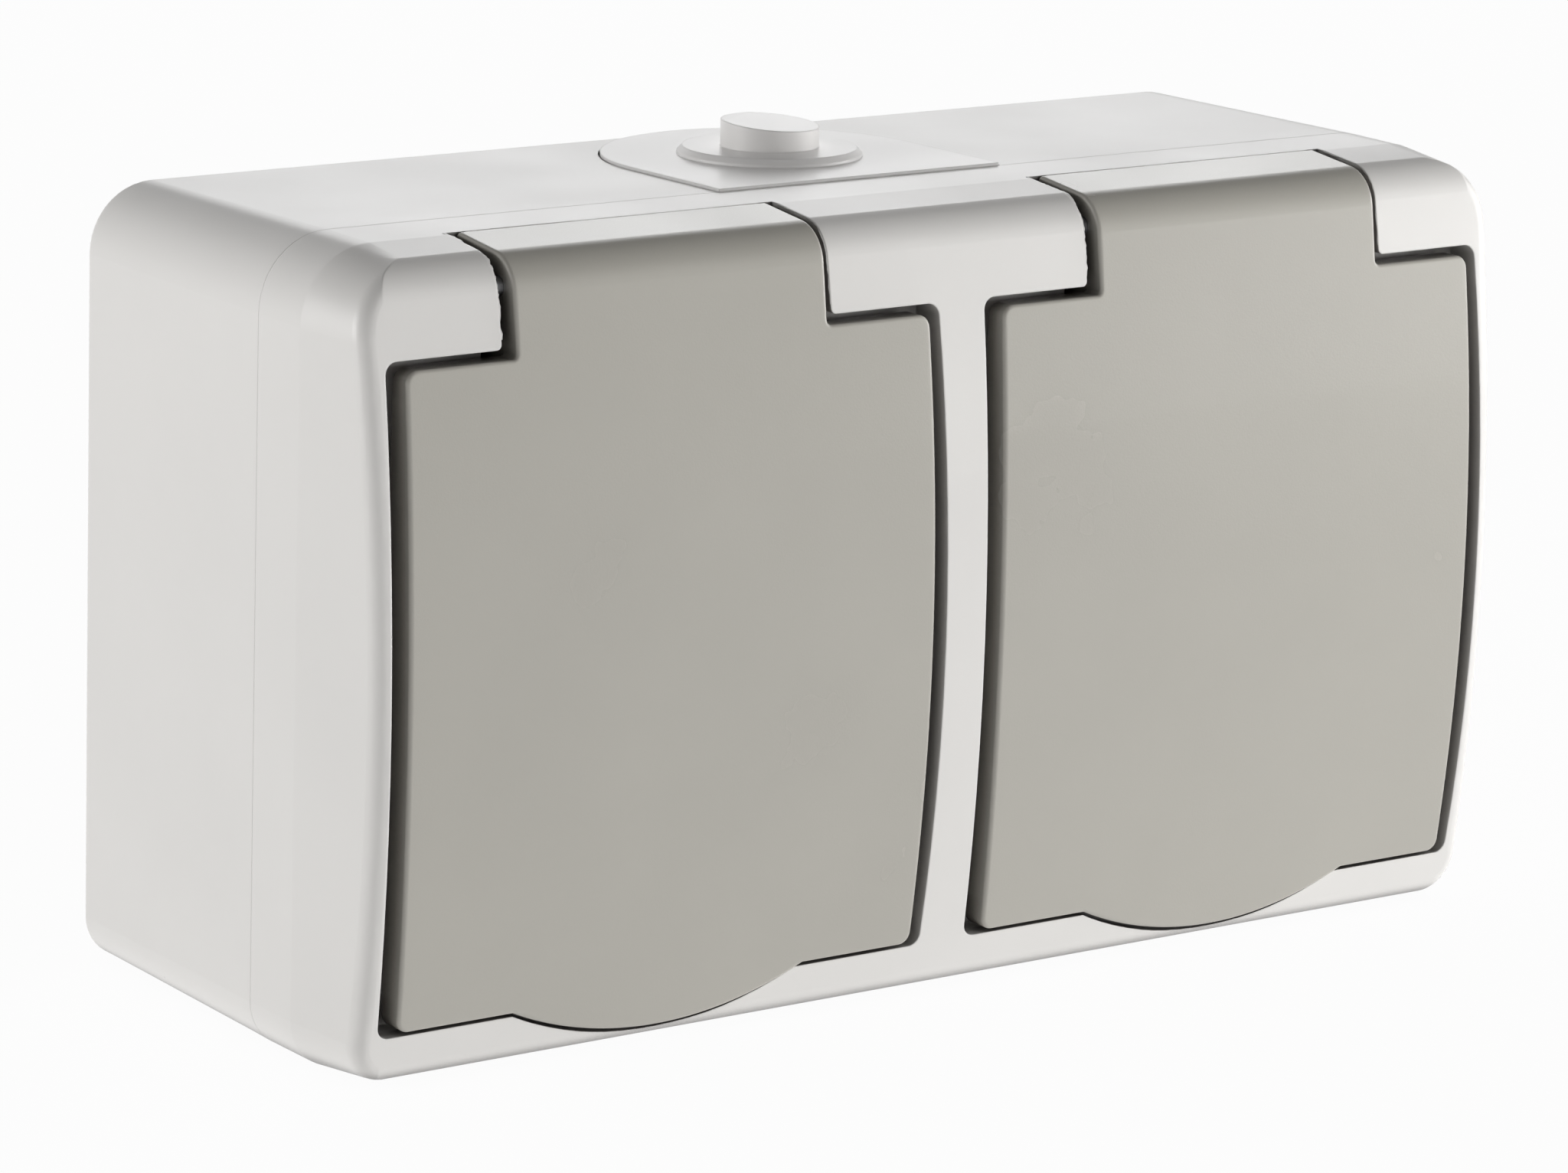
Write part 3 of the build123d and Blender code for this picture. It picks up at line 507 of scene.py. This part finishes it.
@dataclass(frozen=True)
class WorkedMetal:
    """Plated or bare metal strip, block or screw.

    Attributes:
        name: Name of the finish.
        colour: Colour of the metal.
        tarnish: Colour of its dull patches.
        roughness: Roughness of the bright metal.
        thread_pitch: Pitch of a fine thread along Y in millimetres, or 0 for none.
        thread_height: Height of the thread in millimetres.
        line_height: Height of the drawn lines in millimetres.
        edge_radius: Radius of the rounded shading at edges, in millimetres.
        patch_size: Size of the dull patches in millimetres.
        tarnish_share: How much of the tarnish's colour the patches take, from 0 to 1.
        dulling: How much rougher the patches are.
        wave_length: Length of Blender's wave texture at a scale of 1, in metres.
    """

    name: str
    colour: Colour
    tarnish: Colour
    roughness: float = 0.28
    thread_pitch: float = 0.0
    thread_height: float = 0.15
    line_height: float = 0.002
    edge_radius: float = 0.12
    patch_size: float = 4.0
    tarnish_share: float = 0.4
    dulling: float = 0.15
    wave_length: float = 0.314

    def build(self, effects: SharedEffects) -> bpy.types.Material:
        """Make the material.

        Args:
            effects: The shared node groups.

        Returns:
            The material.
        """
        material, graph, shader = new_material(self.name)
        mottle = graph.effect(effects.mottle, patch_size=self.patch_size).outputs["Mask"]
        lines = graph.effect(effects.scratches).outputs["Height"]
        edge = graph.effect(effects.edge, radius=self.edge_radius).outputs["Normal"]
        share = graph.maths("MULTIPLY", mottle, self.tarnish_share)
        graph.join(graph.tint(share, self.colour, self.tarnish), shader.inputs["Base Color"])
        dull = graph.maths("ADD", graph.maths("MULTIPLY", mottle, self.dulling), self.roughness)
        graph.join(dull, shader.inputs["Roughness"])
        shader.inputs["Metallic"].default_value = 1.0
        surface = graph.bump(lines, self.line_height, edge)
        if self.thread_pitch:
            surface = self._thread(graph, surface)
        graph.join(surface, shader.inputs["Normal"])
        return material

    def _thread(self, graph: Graph, surface: bpy.types.NodeSocket) -> bpy.types.NodeSocket:
        """Add the bump of a fine thread whose axis is Y.

        Args:
            graph: Graph of the material.
            surface: Normal that the thread goes over.

        Returns:
            The normal with the thread.
        """
        waves = graph.add("ShaderNodeTexWave", bands_direction="Y", wave_profile="TRI")
        waves.inputs["Scale"].default_value = self.wave_length / (self.thread_pitch * MM)
        graph.join(graph.place(), waves.inputs["Vector"])
        return graph.bump(waves.outputs["Fac"], self.thread_height, surface)


@dataclass(frozen=True)
class SoftRubber:
    """Dark sealing rubber with a dusty bloom.

    Attributes:
        name: Name of the finish.
        colour: Colour of the rubber.
        bloom: Colour of the dusty bloom on it.
        bloom_share: How much of the bloom's colour the patches take, from 0 to 1.
        patch_size: Size of the dusty patches in millimetres.
        grain_size: Size of the grain in millimetres.
        grain_height: Height of the grain in millimetres.
    """

    name: str
    colour: Colour
    bloom: Colour
    bloom_share: float = 0.35
    patch_size: float = 3.0
    grain_size: float = 0.2
    grain_height: float = 0.01

    def build(self, effects: SharedEffects) -> bpy.types.Material:
        """Make the material.

        Args:
            effects: The shared node groups.

        Returns:
            The material.
        """
        material, graph, shader = new_material(self.name)
        mottle = graph.effect(effects.mottle, patch_size=self.patch_size).outputs["Mask"]
        grain = graph.effect(effects.grain, grain_size=self.grain_size).outputs["Height"]
        share = graph.maths("MULTIPLY", mottle, self.bloom_share)
        graph.join(graph.tint(share, self.colour, self.bloom), shader.inputs["Base Color"])
        shader.inputs["Roughness"].default_value = 0.75
        graph.join(graph.bump(grain, self.grain_height), shader.inputs["Normal"])
        return material


def dress(frame: dict, node: str, material: bpy.types.Material) -> None:
    """Give a frame node a finish, in every slot that it has.

    Args:
        frame: The loaded frame.
        node: Name of the node.
        material: The finish.
    """
    for slot in frame["nodes"][node].material_slots:
        slot.material = material
    LOG.info("dressed %s with %s", node, material.name)


def new_piece(name: str, mesh: bpy.types.Mesh, material: bpy.types.Material) -> bpy.types.Object:
    """Put a mesh into the scene as a piece with a finish.

    Args:
        name: Name of the piece.
        mesh: Its mesh.
        material: Its finish.

    Returns:
        The object.
    """
    piece = bpy.data.objects.new(name, mesh)
    bpy.context.scene.collection.objects.link(piece)
    mesh.materials.append(material)
    LOG.info("made %s with %d faces", name, len(mesh.polygons))
    return piece


def skin(name: str, rings: list[list[Vector]], smooth: bool) -> bpy.types.Mesh:
    """Join rings of points into a closed mesh with flat ends.

    Args:
        name: Name of the mesh.
        rings: Rings of equally many points, in millimetres.
        smooth: Whether the sides are shaded smooth.

    Returns:
        The mesh, in metres.
    """
    mesh = bmesh.new()
    loops = [[mesh.verts.new(point * MM) for point in ring] for ring in rings]
    for near, far in zip(loops, loops[1:]):
        for i, corner in enumerate(near):
            beside = (i + 1) % len(near)
            mesh.faces.new((corner, near[beside], far[beside], far[i])).smooth = smooth
    mesh.faces.new(loops[0])
    mesh.faces.new(list(reversed(loops[-1])))
    bmesh.ops.recalc_face_normals(mesh, faces=mesh.faces)
    data = bpy.data.meshes.new(name)
    mesh.to_mesh(data)
    mesh.free()
    return data


def neighbours(path: list[Vector], i: int) -> tuple[Vector, Vector]:
    """The points of a path before and after one, or the point itself at an end."""
    return path[max(i - 1, 0)], path[min(i + 1, len(path) - 1)]


@dataclass
class Palette:
    """All finishes of the socket, built once."""

    effects: SharedEffects = field(default_factory=SharedEffects)

    def __post_init__(self) -> None:
        """Build the materials."""
        # The second colour of each plastic is the lighter colour of its painted edge highlight.
        housing = MouldedPlastic(
            "housing_plastic", linear(226, 224, 221), linear(234, 232, 229), roughness=0.3
        )
        lid = MouldedPlastic(
            "lid_plastic", linear(179, 176, 168), linear(204, 202, 196), roughness=0.22, grain_size=0.25,
            grain_height=0.012, mottle=0.04,
        )
        # The insert takes little of the painted gap shade.
        insert = MouldedPlastic(
            "insert_plastic", linear(244, 242, 240), linear(247, 246, 244), roughness=0.3, painted_gap_shade=0.05
        )
        face = MouldedPlastic("face_plastic", linear(212, 211, 208), linear(224, 223, 221), roughness=0.3)
        base = MouldedPlastic(
            "base_plastic", linear(120, 116, 110), linear(150, 146, 140), roughness=0.55, grain_height=0.01
        )
        self.housing = housing.build(self.effects)
        self.lid = lid.build(self.effects)
        self.insert = insert.build(self.effects)
        self.face = face.build(self.effects)
        self.base = base.build(self.effects)
        plating, dull_zinc = linear(200, 202, 206), linear(150, 150, 150)
        brass = WorkedMetal("contact_brass", linear(214, 178, 104), linear(160, 120, 62))
        zinc = WorkedMetal("zinc_steel", plating, dull_zinc)
        thread = WorkedMetal("threaded_steel", plating, dull_zinc, thread_pitch=0.6)
        rubber = SoftRubber("seal_rubber", linear(52, 52, 54), linear(96, 95, 92))
        self.brass = brass.build(self.effects)
        self.zinc = zinc.build(self.effects)
        self.thread = thread.build(self.effects)
        self.rubber = rubber.build(self.effects)


@dataclass(frozen=True)
class BulgingFront:
    """Side view of a bulging front that rounds into the slanted top, in millimetres.

    Attributes:
        depth: Depth of the front at its furthest point.
        radius: Radius of the bulge.
        rounding: Radius between the bulge and the top.
        crown: Height of the furthest point.
        top: Height of the top where it starts to slant.
        slant_start: Depth at which the top starts to slant.
        slant_deg: Slant of the top.
        tolerance: How exactly the middle of the rounding is found.
    """

    depth: float
    radius: float
    rounding: float = 4.5
    crown: float = -4.0
    top: float = 43.0
    slant_start: float = 44.0
    slant_deg: float = 6.0
    tolerance: float = 1e-6

    def _top_inside(self, depth: float) -> float:
        """Height of a line under the slanted top, lower by the rounding's radius."""
        slant = math.radians(self.slant_deg)
        return self.top - (depth - self.slant_start) * math.tan(slant) - self.rounding / math.cos(slant)

    def points(self, low: float, back: float, step: float) -> list[Vector]:
        """Points from a height on the bulge, over the rounding, to a depth on the top.

        Args:
            low: Height of the first point.
            back: Depth of the last point.
            step: Distance between points.

        Returns:
            The points, each with X 0, in millimetres.
        """
        pivot = self.depth - self.radius
        near, far = self.slant_start, self.depth
        while far - near > self.tolerance:
            middle = (near + far) / 2
            off = math.hypot(middle - pivot, self._top_inside(middle) - self.crown)
            near, far = (near, middle) if off > self.radius - self.rounding else (middle, far)
        centre_z = self._top_inside(near)
        first = math.atan2(low - self.crown, math.sqrt(self.radius**2 - (low - self.crown) ** 2))
        turn = math.atan2(centre_z - self.crown, near - pivot)
        flat = math.radians(90 - self.slant_deg)
        rise = self.rounding / math.cos(math.radians(self.slant_deg))
        found = []
        for middle_y, middle_z, radius, start, end in (
            (pivot, self.crown, self.radius, first, turn),
            (near, centre_z, self.rounding, turn, flat),
        ):
            for angle in self._steps(start, end, step / radius):
                found.append((middle_y + radius * math.cos(angle), middle_z + radius * math.sin(angle)))
        for depth in self._steps(found[-1][0], back, step):
            found.append((depth, self._top_inside(depth) + rise))
        return [Vector((0.0, -depth, height)) for depth, height in found]

    @staticmethod
    def _steps(first: float, last: float, step: float) -> list[float]:
        """Even steps from a first to a last value."""
        count = max(2, round(abs(last - first) / step))
        return [first + (last - first) * i / count for i in range(count + 1)]


@dataclass
class MouldFlash:
    """Thin ragged fin that the mould's parting leaves along an edge.

    Attributes:
        name: Name of the piece.
        path: Points of the edge, in millimetres.
        reach: Direction in which the fin stands out.
        width: Widest part of the fin in millimetres.
        thickness: Its thickness in millimetres.
        seed: Start of its random outline.
        first_share: Share of the width at the start of the path.
        least_share: Least share of the width.
        jump: Largest change of that share from one point to the next.
        sink: How far the fin lies under the surface, in millimetres.
        root: How far it reaches back into the piece, in millimetres.
        taper: Share of its reach that its inner face has.
        parting: Direction that leads into the piece.
    """

    name: str
    path: list[Vector]
    reach: Vector
    width: float = 0.35
    thickness: float = 0.1
    seed: int = 1
    first_share: float = 0.4
    least_share: float = 0.12
    jump: float = 0.3
    sink: float = 0.03
    root: float = 0.15
    taper: float = 0.9
    parting: tuple[float, float, float] = (0.0, 1.0, -1.0)

    def build(self, material: bpy.types.Material, body: str, slot: str) -> bpy.types.Object:
        """Make the fin.

        Args:
            material: Its finish.
            body: Body that it rides on.
            slot: Not used.

        Returns:
            The fin.
        """
        chance = random.Random(self.seed)
        rings = []
        share = self.first_share
        for i, point in enumerate(self.path):
            before, after = neighbours(self.path, i)
            inwards = (after - before).cross(self.reach).normalized()
            if inwards.dot(Vector(self.parting)) < 0:
                inwards.negate()
            share = min(1.0, max(self.least_share, share + chance.uniform(-self.jump, self.jump)))
            top = point + inwards * self.sink
            low = top + inwards * self.thickness * (0.5 + 0.5 * share)
            tip = self.reach * self.width * share
            root = self.reach * -self.root
            rings.append([top + root, top + tip, low + tip * self.taper, low + root])
        fin = new_piece(self.name, skin(self.name, rings, smooth=False), material)
        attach(fin, body)
        return fin


@dataclass(frozen=True)
class BentWire:
    """Round wire bent along a path.

    Attributes:
        name: Name of the piece.
        path: Points of the wire's middle, in millimetres.
        radius: Radius of the wire in millimetres.
        sides: Number of sides of the wire's mesh.
        end_share: Radius of the wire's ends, as a share of its own.
        seam: Rough direction from the wire's middle to the first side of its mesh.
    """

    name: str
    path: list[Vector]
    radius: float = 0.25
    sides: int = 10
    end_share: float = 0.6
    seam: tuple[float, float, float] = (1.0, 0.2, 0.1)

    def build(self, material: bpy.types.Material, body: str, slot: str) -> bpy.types.Object:
        """Make the wire, with tapered ends.

        Args:
            material: Its finish.
            body: Body that it rides on.
            slot: Not used.

        Returns:
            The wire.
        """
        rings = []
        side = Vector(self.seam)
        for i, point in enumerate(self.path):
            before, after = neighbours(self.path, i)
            along = (after - before).normalized()
            side = (side - along * side.dot(along)).normalized()
            other = along.cross(side)
            radius = self.radius * (self.end_share if i in (0, len(self.path) - 1) else 1.0)
            turns = [math.tau * k / self.sides for k in range(self.sides)]
            rings.append([point + (side * math.cos(a) + other * math.sin(a)) * radius for a in turns])
        wire = new_piece(self.name, skin(self.name, rings, smooth=True), material)
        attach(wire, body)
        return wire


@dataclass
class HingeSpring:
    """Torsion spring of a lid: a coil with a leg on the pocket's floor, and a leg that turns with the lid.

    Attributes:
        side: Which lid it closes.
        palette: The finishes.
        middle: Middle of the coil along X, in millimetres.
        axis: Y and Z of the hinge pin, in millimetres.
        radius: Mean radius of the coil in millimetres.
        pitch: Pitch of the coil in millimetres.
        reach: Half the length of the coil in millimetres.
        floor_leg: Y and Z of the bends of the leg on the pocket's floor, in millimetres.
        lid_leg: Y and Z of the end of the leg under the tab, in millimetres.
        coil_start: Angle at which the coil leaves the floor leg, in degrees.
        coil_steps: Points in one turn of the coil.
        hook_end: Angle at which the hook runs into the lid leg, in degrees.
        hook_turn: How far the hook goes round the pin, in degrees.
        hook_steps: Points of the hook.
    """

    side: Side
    palette: Palette
    middle: float
    axis: tuple[float, float] = (-51.2, 38.893)
    radius: float = 1.35
    pitch: float = 0.7
    reach: float = 2.275
    floor_leg: tuple[tuple[float, float], ...] = (
        (-53.6, 31.2), (-54.0, 29.6), (-50.95, 27.4), (-50.95, 25.4)
    )
    lid_leg: tuple[float, float] = (-47.6, 40.443)
    coil_start: float = 200.0
    coil_steps: int = 24
    hook_end: float = 90.0
    hook_turn: float = 300.0
    hook_steps: int = 20

    def _turn(self, along: float, angle: float) -> Vector:
        """Point of the coil at a distance along the pin and an angle from the back, in degrees."""
        turn = math.radians(angle)
        pin_y, pin_z = self.axis
        return Vector((
            self.middle + along, pin_y + self.radius * math.cos(turn), pin_z + self.radius * math.sin(turn)
        ))

    def build(self) -> None:
        """Make the coil and the turning leg in place of the frame's spring."""
        steel = self.palette.zinc
        turns = (2 * self.reach - self.pitch) / self.pitch
        count = round(turns * self.coil_steps)
        coil = []
        for i in range(count + 1):
            angle = self.coil_start + 360.0 * turns * i / count
            coil.append(self._turn(self.reach - self.pitch * turns * i / count, angle))
        legs = [Vector((self.middle + self.reach, y, z)) for y, z in reversed(self.floor_leg)]
        fixed = BentWire(self.side.node("spring_coil"), legs + coil).build(steel, "housing", "zinc_steel")
        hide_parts(self.side.node("lid_spring"))
        hook = [
            self._turn(-self.reach, self.hook_end + self.hook_turn * (1 - i / self.hook_steps))
            for i in range(self.hook_steps + 1)
        ]
        hook.append(Vector((self.middle - self.reach, *self.lid_leg)))
        BentWire(self.side.node("spring_lid_leg"), hook).build(steel, self.side.body(), "zinc_steel")


@dataclass
class Housing:
    """Back box, front cover, the seal between them and the cable entry.

    Attributes:
        frame: The loaded frame.
        palette: The finishes.
        pocket_top: Height of the lower edge of the ears, in millimetres.
        opening_half: Half the opening between two ears, in millimetres.
        trough_edge: Depth at which the hinge trough meets the top, in millimetres.
        front: Side view of the cover's front.
        flash_start: How far above the ears' lower edge the flash starts, in millimetres.
        flash_step: Distance between the flash's points, in millimetres.
        flash_widths: Widest part of the flash at the left and at the right of an opening, in millimetres.
        flash_seed: Start of the flash's random outlines.
    """

    frame: dict
    palette: Palette
    pocket_top: float = 33.0
    opening_half: float = 20.4
    trough_edge: float = 43.2
    front: BulgingFront = BulgingFront(depth=57.4, radius=228.0)
    flash_start: float = 1.0
    flash_step: float = 0.3
    flash_widths: tuple[float, float] = (0.4, 0.2)
    flash_seed: int = 11

    def build(self) -> None:
        """Dress the housing's nodes and leave the mould's flash on its ears."""
        for finish, nodes in (
            (self.palette.housing, ("back_box", "front_cover")),
            (self.palette.insert, ("cable_entry_insert",)),
            (self.palette.rubber, ("box_gasket",)),
            (self.palette.thread, ("base_screws", "face_screws", "terminal_screws")),
        ):
            for node in nodes:
                dress(self.frame, node, finish)
        edge = self.front.points(self.pocket_top + self.flash_start, self.trough_edge, self.flash_step)
        left_width, right_width = self.flash_widths
        for number, side in enumerate(Side):
            for hand, way, width in (("left", 1, left_width), ("right", -1, right_width)):
                shift = Vector((side.middle() - way * self.opening_half, 0.0, 0.0))
                MouldFlash(
                    f"{side.value}_opening_{hand}_flash", [point + shift for point in edge],
                    Vector((float(way), 0.0, 0.0)), width=width, seed=self.flash_seed + 2 * number + way,
                ).build(self.palette.housing, "housing", "housing_plastic")


@dataclass
class SprungLid:
    """One lid with its seal, hinge pin and spring.

    Attributes:
        side: Which lid this is.
        frame: The loaded frame.
        palette: The finishes.
        play: How far the lid stands to the right on its pin, in millimetres.
        tab_half: Half the width of the tab, in millimetres.
        tab_back: Depth of the back edge of the tab's top, in millimetres.
        front: Side view of the lid's front.
        front_low: Height from which that side view is followed, in millimetres.
        flash_inset: How far the flash stays from the tab's ends, in millimetres.
        flash_step: Distance between points of the side view, in millimetres.
        flash_count: Number of stretches of the flash.
        flash_width: Widest part of the flash in millimetres.
        flash_seed: Start of the flash's random outline.
    """

    side: Side
    frame: dict
    palette: Palette
    play: float = 0.25
    tab_half: float = 19.2
    tab_back: float = 43.4
    front: BulgingFront = BulgingFront(depth=57.5, radius=280.0)
    front_low: float = 40.0
    flash_inset: float = 1.0
    flash_step: float = 0.3
    flash_count: int = 90
    flash_width: float = 0.22
    flash_seed: int = 31

    def build(self) -> None:
        """Dress the lid's nodes and leave the mould's flash on its tab."""
        dress(self.frame, self.side.node("lid"), self.palette.lid)
        dress(self.frame, self.side.node("lid_seal"), self.palette.rubber)
        dress(self.frame, self.side.node("hinge_pin"), self.palette.zinc)
        dress(self.frame, self.side.node("lid_spring"), self.palette.zinc)
        top = self.front.points(self.front_low, self.tab_back, self.flash_step)[-1]
        middle = self.side.middle() + self.play
        reach = self.tab_half - self.flash_inset
        count = self.flash_count
        path = [Vector((middle + reach * (2 * i / count - 1), top.y, top.z)) for i in range(count + 1)]
        MouldFlash(
            self.side.node("tab_flash"), path, Vector((0.0, 1.0, 0.0)), width=self.flash_width,
            seed=self.flash_seed,
        ).build(self.palette.lid, self.side.body(), "lid_plastic")
        HingeSpring(self.side, self.palette, middle).build()


@dataclass
class SocketUnit:
    """One socket behind a lid: face, base, contacts and terminals.

    Attributes:
        side: Which socket this is.
        frame: The loaded frame.
        palette: The finishes.
    """

    side: Side
    frame: dict
    palette: Palette

    def build(self) -> None:
        """Dress the socket's nodes."""
        dress(self.frame, self.side.node("socket_face"), self.palette.face)
        dress(self.frame, self.side.node("socket_base"), self.palette.base)
        for piece in (
            "live_contact", "neutral_contact", "earth_clip", "live_clamp", "neutral_clamp", "earth_clamp"
        ):
            dress(self.frame, self.side.node(piece), self.palette.brass)


@dataclass
class Softbox:
    """One soft area light aimed at the object.

    Attributes:
        name: Name of the light.
        place: Where it stands.
        size: Side of its square panel.
        power: Its power in watts.
        mirrored: Whether glossy surfaces show it.
        aim: What it points at.
    """

    name: str
    place: tuple[float, float, float]
    size: float
    power: float
    mirrored: bool = True
    aim: tuple[float, float, float] = (0.0, -0.03, 0.0)

    def build(self) -> None:
        """Make the light."""
        light = bpy.data.lights.new(self.name, "AREA")
        light.shape = "RECTANGLE"
        light.size = self.size
        light.size_y = self.size
        light.energy = self.power
        lamp = bpy.data.objects.new(self.name, light)
        lamp.location = self.place
        lamp.rotation_euler = (Vector(self.aim) - Vector(self.place)).to_track_quat("-Z", "Y").to_euler()
        lamp.visible_glossy = self.mirrored
        bpy.context.scene.collection.objects.link(lamp)


@dataclass
class Studio:
    """White floor and background, soft lights and the camera.

    Attributes:
        floor_size: Side of the floor.
        floor_paint: Colour of the floor.
        floor_shadow: Share of the floor's own shading that the camera sees.
        floor_glow: Share of the floor that shines, as a light table does.
        level: Strength of the even light that comes from all sides.
        ceiling_level: Strength of the light that comes from above.
        ceiling: Sine of the height at which the white walls end and the darker ceiling starts.
        ceiling_blend: Half the width of the change between them.
        azimuth_deg: Camera's turn about Z, from straight in front of the wall towards -X.
        elevation_deg: Camera's height angle.
        roll_deg: Camera's turn about its own axis.
        distance: Distance from the camera to its target.
        target: Point that the middle of the picture shows.
        lens: Focal length in millimetres.
        sensor: Width of the sensor in millimetres.
        clip_start: Distance at which the camera starts to see.
    """

    floor_size: float = 12.0
    floor_paint: Colour = linear(250, 250, 250)
    floor_shadow: float = 0.04
    floor_glow: float = 0.6
    level: float = 0.2
    ceiling_level: float = 0.15
    ceiling: float = 0.5
    ceiling_blend: float = 0.12
    azimuth_deg: float = 35.93
    elevation_deg: float = 13.555
    roll_deg: float = 1.801
    distance: float = 0.71905
    target: tuple[float, float, float] = (-0.00417, -0.030, -0.00276)
    lens: float = 151.39
    sensor: float = 36.0
    clip_start: float = 0.01

    def build(self) -> None:
        """Make the floor, the background, the lights and the camera."""
        low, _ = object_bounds()
        self._floor(low[2])
        self._background()
        self._lights()
        self._camera()
        bpy.context.scene.view_settings.view_transform = "Standard"

    def _floor(self, level: float) -> None:
        """Make the white floor.

        Args:
            level: Height of the floor.
        """
        mesh = bpy.data.meshes.new("studio_floor")
        half = self.floor_size / 2
        corners = [(-half, -half, level), (half, -half, level), (half, half, level), (-half, half, level)]
        mesh.from_pydata(corners, [], [(0, 1, 2, 3)])
        material = bpy.data.materials.new("studio_white")
        material.use_nodes = True
        tree = material.node_tree
        tree.nodes.clear()
        graph = Graph(tree)
        paint = graph.add("ShaderNodeBsdfDiffuse")
        paint.inputs["Color"].default_value = self.floor_paint
        glow = graph.add("ShaderNodeEmission")
        path = graph.add("ShaderNodeLightPath")
        mix = graph.add("ShaderNodeMixShader")
        seen = graph.maths("MAXIMUM", path.outputs["Is Camera Ray"], path.outputs["Is Glossy Ray"])
        shown = graph.maths("MULTIPLY", seen, 1.0 - self.floor_shadow - self.floor_glow)
        graph.join(graph.maths("ADD", shown, self.floor_glow), mix.inputs[0])
        graph.join(paint.outputs[0], mix.inputs[1])
        graph.join(glow.outputs[0], mix.inputs[2])
        out = graph.add("ShaderNodeOutputMaterial")
        graph.join(mix.outputs[0], out.inputs["Surface"])
        floor = new_piece("studio_floor", mesh, material)
        floor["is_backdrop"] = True

    def _background(self) -> None:
        """Make the world: white to the camera, a plain level of light for the object."""
        world = bpy.data.worlds.new("studio_light")
        bpy.context.scene.world = world
        world.use_nodes = True
        tree = world.node_tree
        tree.nodes.clear()
        graph = Graph(tree)
        path = graph.add("ShaderNodeLightPath")
        rise = graph.add("ShaderNodeSeparateXYZ")
        graph.join(graph.add("ShaderNodeTexCoord").outputs["Generated"], rise.inputs[0])
        blend = self.ceiling_blend
        walls = graph.ramp(rise.outputs["Z"], self.ceiling + blend, self.ceiling - blend)
        low_share = graph.maths("MULTIPLY", walls, self.level - self.ceiling_level)
        even = graph.maths("ADD", low_share, self.ceiling_level)
        mirrored = graph.maths("MULTIPLY", path.outputs["Is Glossy Ray"], walls)
        strength = graph.maths("ADD", even, graph.maths("MULTIPLY", mirrored, 1.0 - self.level))
        light = graph.add("ShaderNodeBackground")
        graph.join(strength, light.inputs["Strength"])
        white = graph.add("ShaderNodeBackground")
        white.inputs["Strength"].default_value = 1.0
        mix = graph.add("ShaderNodeMixShader")
        seen = graph.maths("MAXIMUM", path.outputs["Is Camera Ray"], path.outputs["Is Transmission Ray"])
        graph.join(seen, mix.inputs[0])
        graph.join(light.outputs[0], mix.inputs[1])
        graph.join(white.outputs[0], mix.inputs[2])
        out = graph.add("ShaderNodeOutputWorld")
        graph.join(mix.outputs[0], out.inputs["Surface"])

    def _lights(self) -> None:
        """Make the soft lights."""
        for softbox in (
            Softbox("left_softbox", (-1.0, 0.35, 0.1), 0.7, 7.7),
            Softbox("right_softbox", (1.0, -0.4, 0.1), 0.6, 5.0),
            Softbox("front_softbox", (0.1, -1.2, 0.05), 0.5, 1.7, mirrored=False),
            Softbox("right_front_softbox", (0.42, -0.4, 0.02), 0.2, 1.8, mirrored=False),
            Softbox("right_rear_softbox", (0.7, 0.95, 0.46), 0.5, 1.7),
            Softbox("rear_softbox", (-0.1, 1.0, 0.5), 0.8, 0.6),
        ):
            softbox.build()

    def _camera(self) -> None:
        """Make the camera at the photograph's viewpoint."""
        azimuth, elevation, roll = map(math.radians, (self.azimuth_deg, self.elevation_deg, self.roll_deg))
        level = math.cos(elevation)
        back = Vector((-math.sin(azimuth) * level, -math.cos(azimuth) * level, math.sin(elevation)))
        level_right = Vector((0, 0, 1)).cross(back).normalized()
        level_up = back.cross(level_right)
        right = level_right * math.cos(roll) + level_up * math.sin(roll)
        up = level_up * math.cos(roll) - level_right * math.sin(roll)
        turn = Matrix((right, up, back)).transposed().to_4x4()
        data = bpy.data.cameras.new("photo_camera")
        data.lens = self.lens
        data.sensor_fit = "HORIZONTAL"
        data.sensor_width = self.sensor
        data.clip_start = self.clip_start
        camera = bpy.data.objects.new("photo_camera", data)
        camera.matrix_world = Matrix.Translation(Vector(self.target) + back * self.distance) @ turn
        bpy.context.scene.collection.objects.link(camera)
        bpy.context.scene.camera = camera


def main() -> None:
    """Build the dressed socket and its studio."""
    logging.basicConfig(level=logging.INFO, format="%(name)s: %(message)s")
    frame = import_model()
    palette = Palette()
    Housing(frame, palette).build()
    for side in Side:
        SprungLid(side, frame, palette).build()
        SocketUnit(side, frame, palette).build()
    Studio().build()


if __name__ == "__main__":
    main()
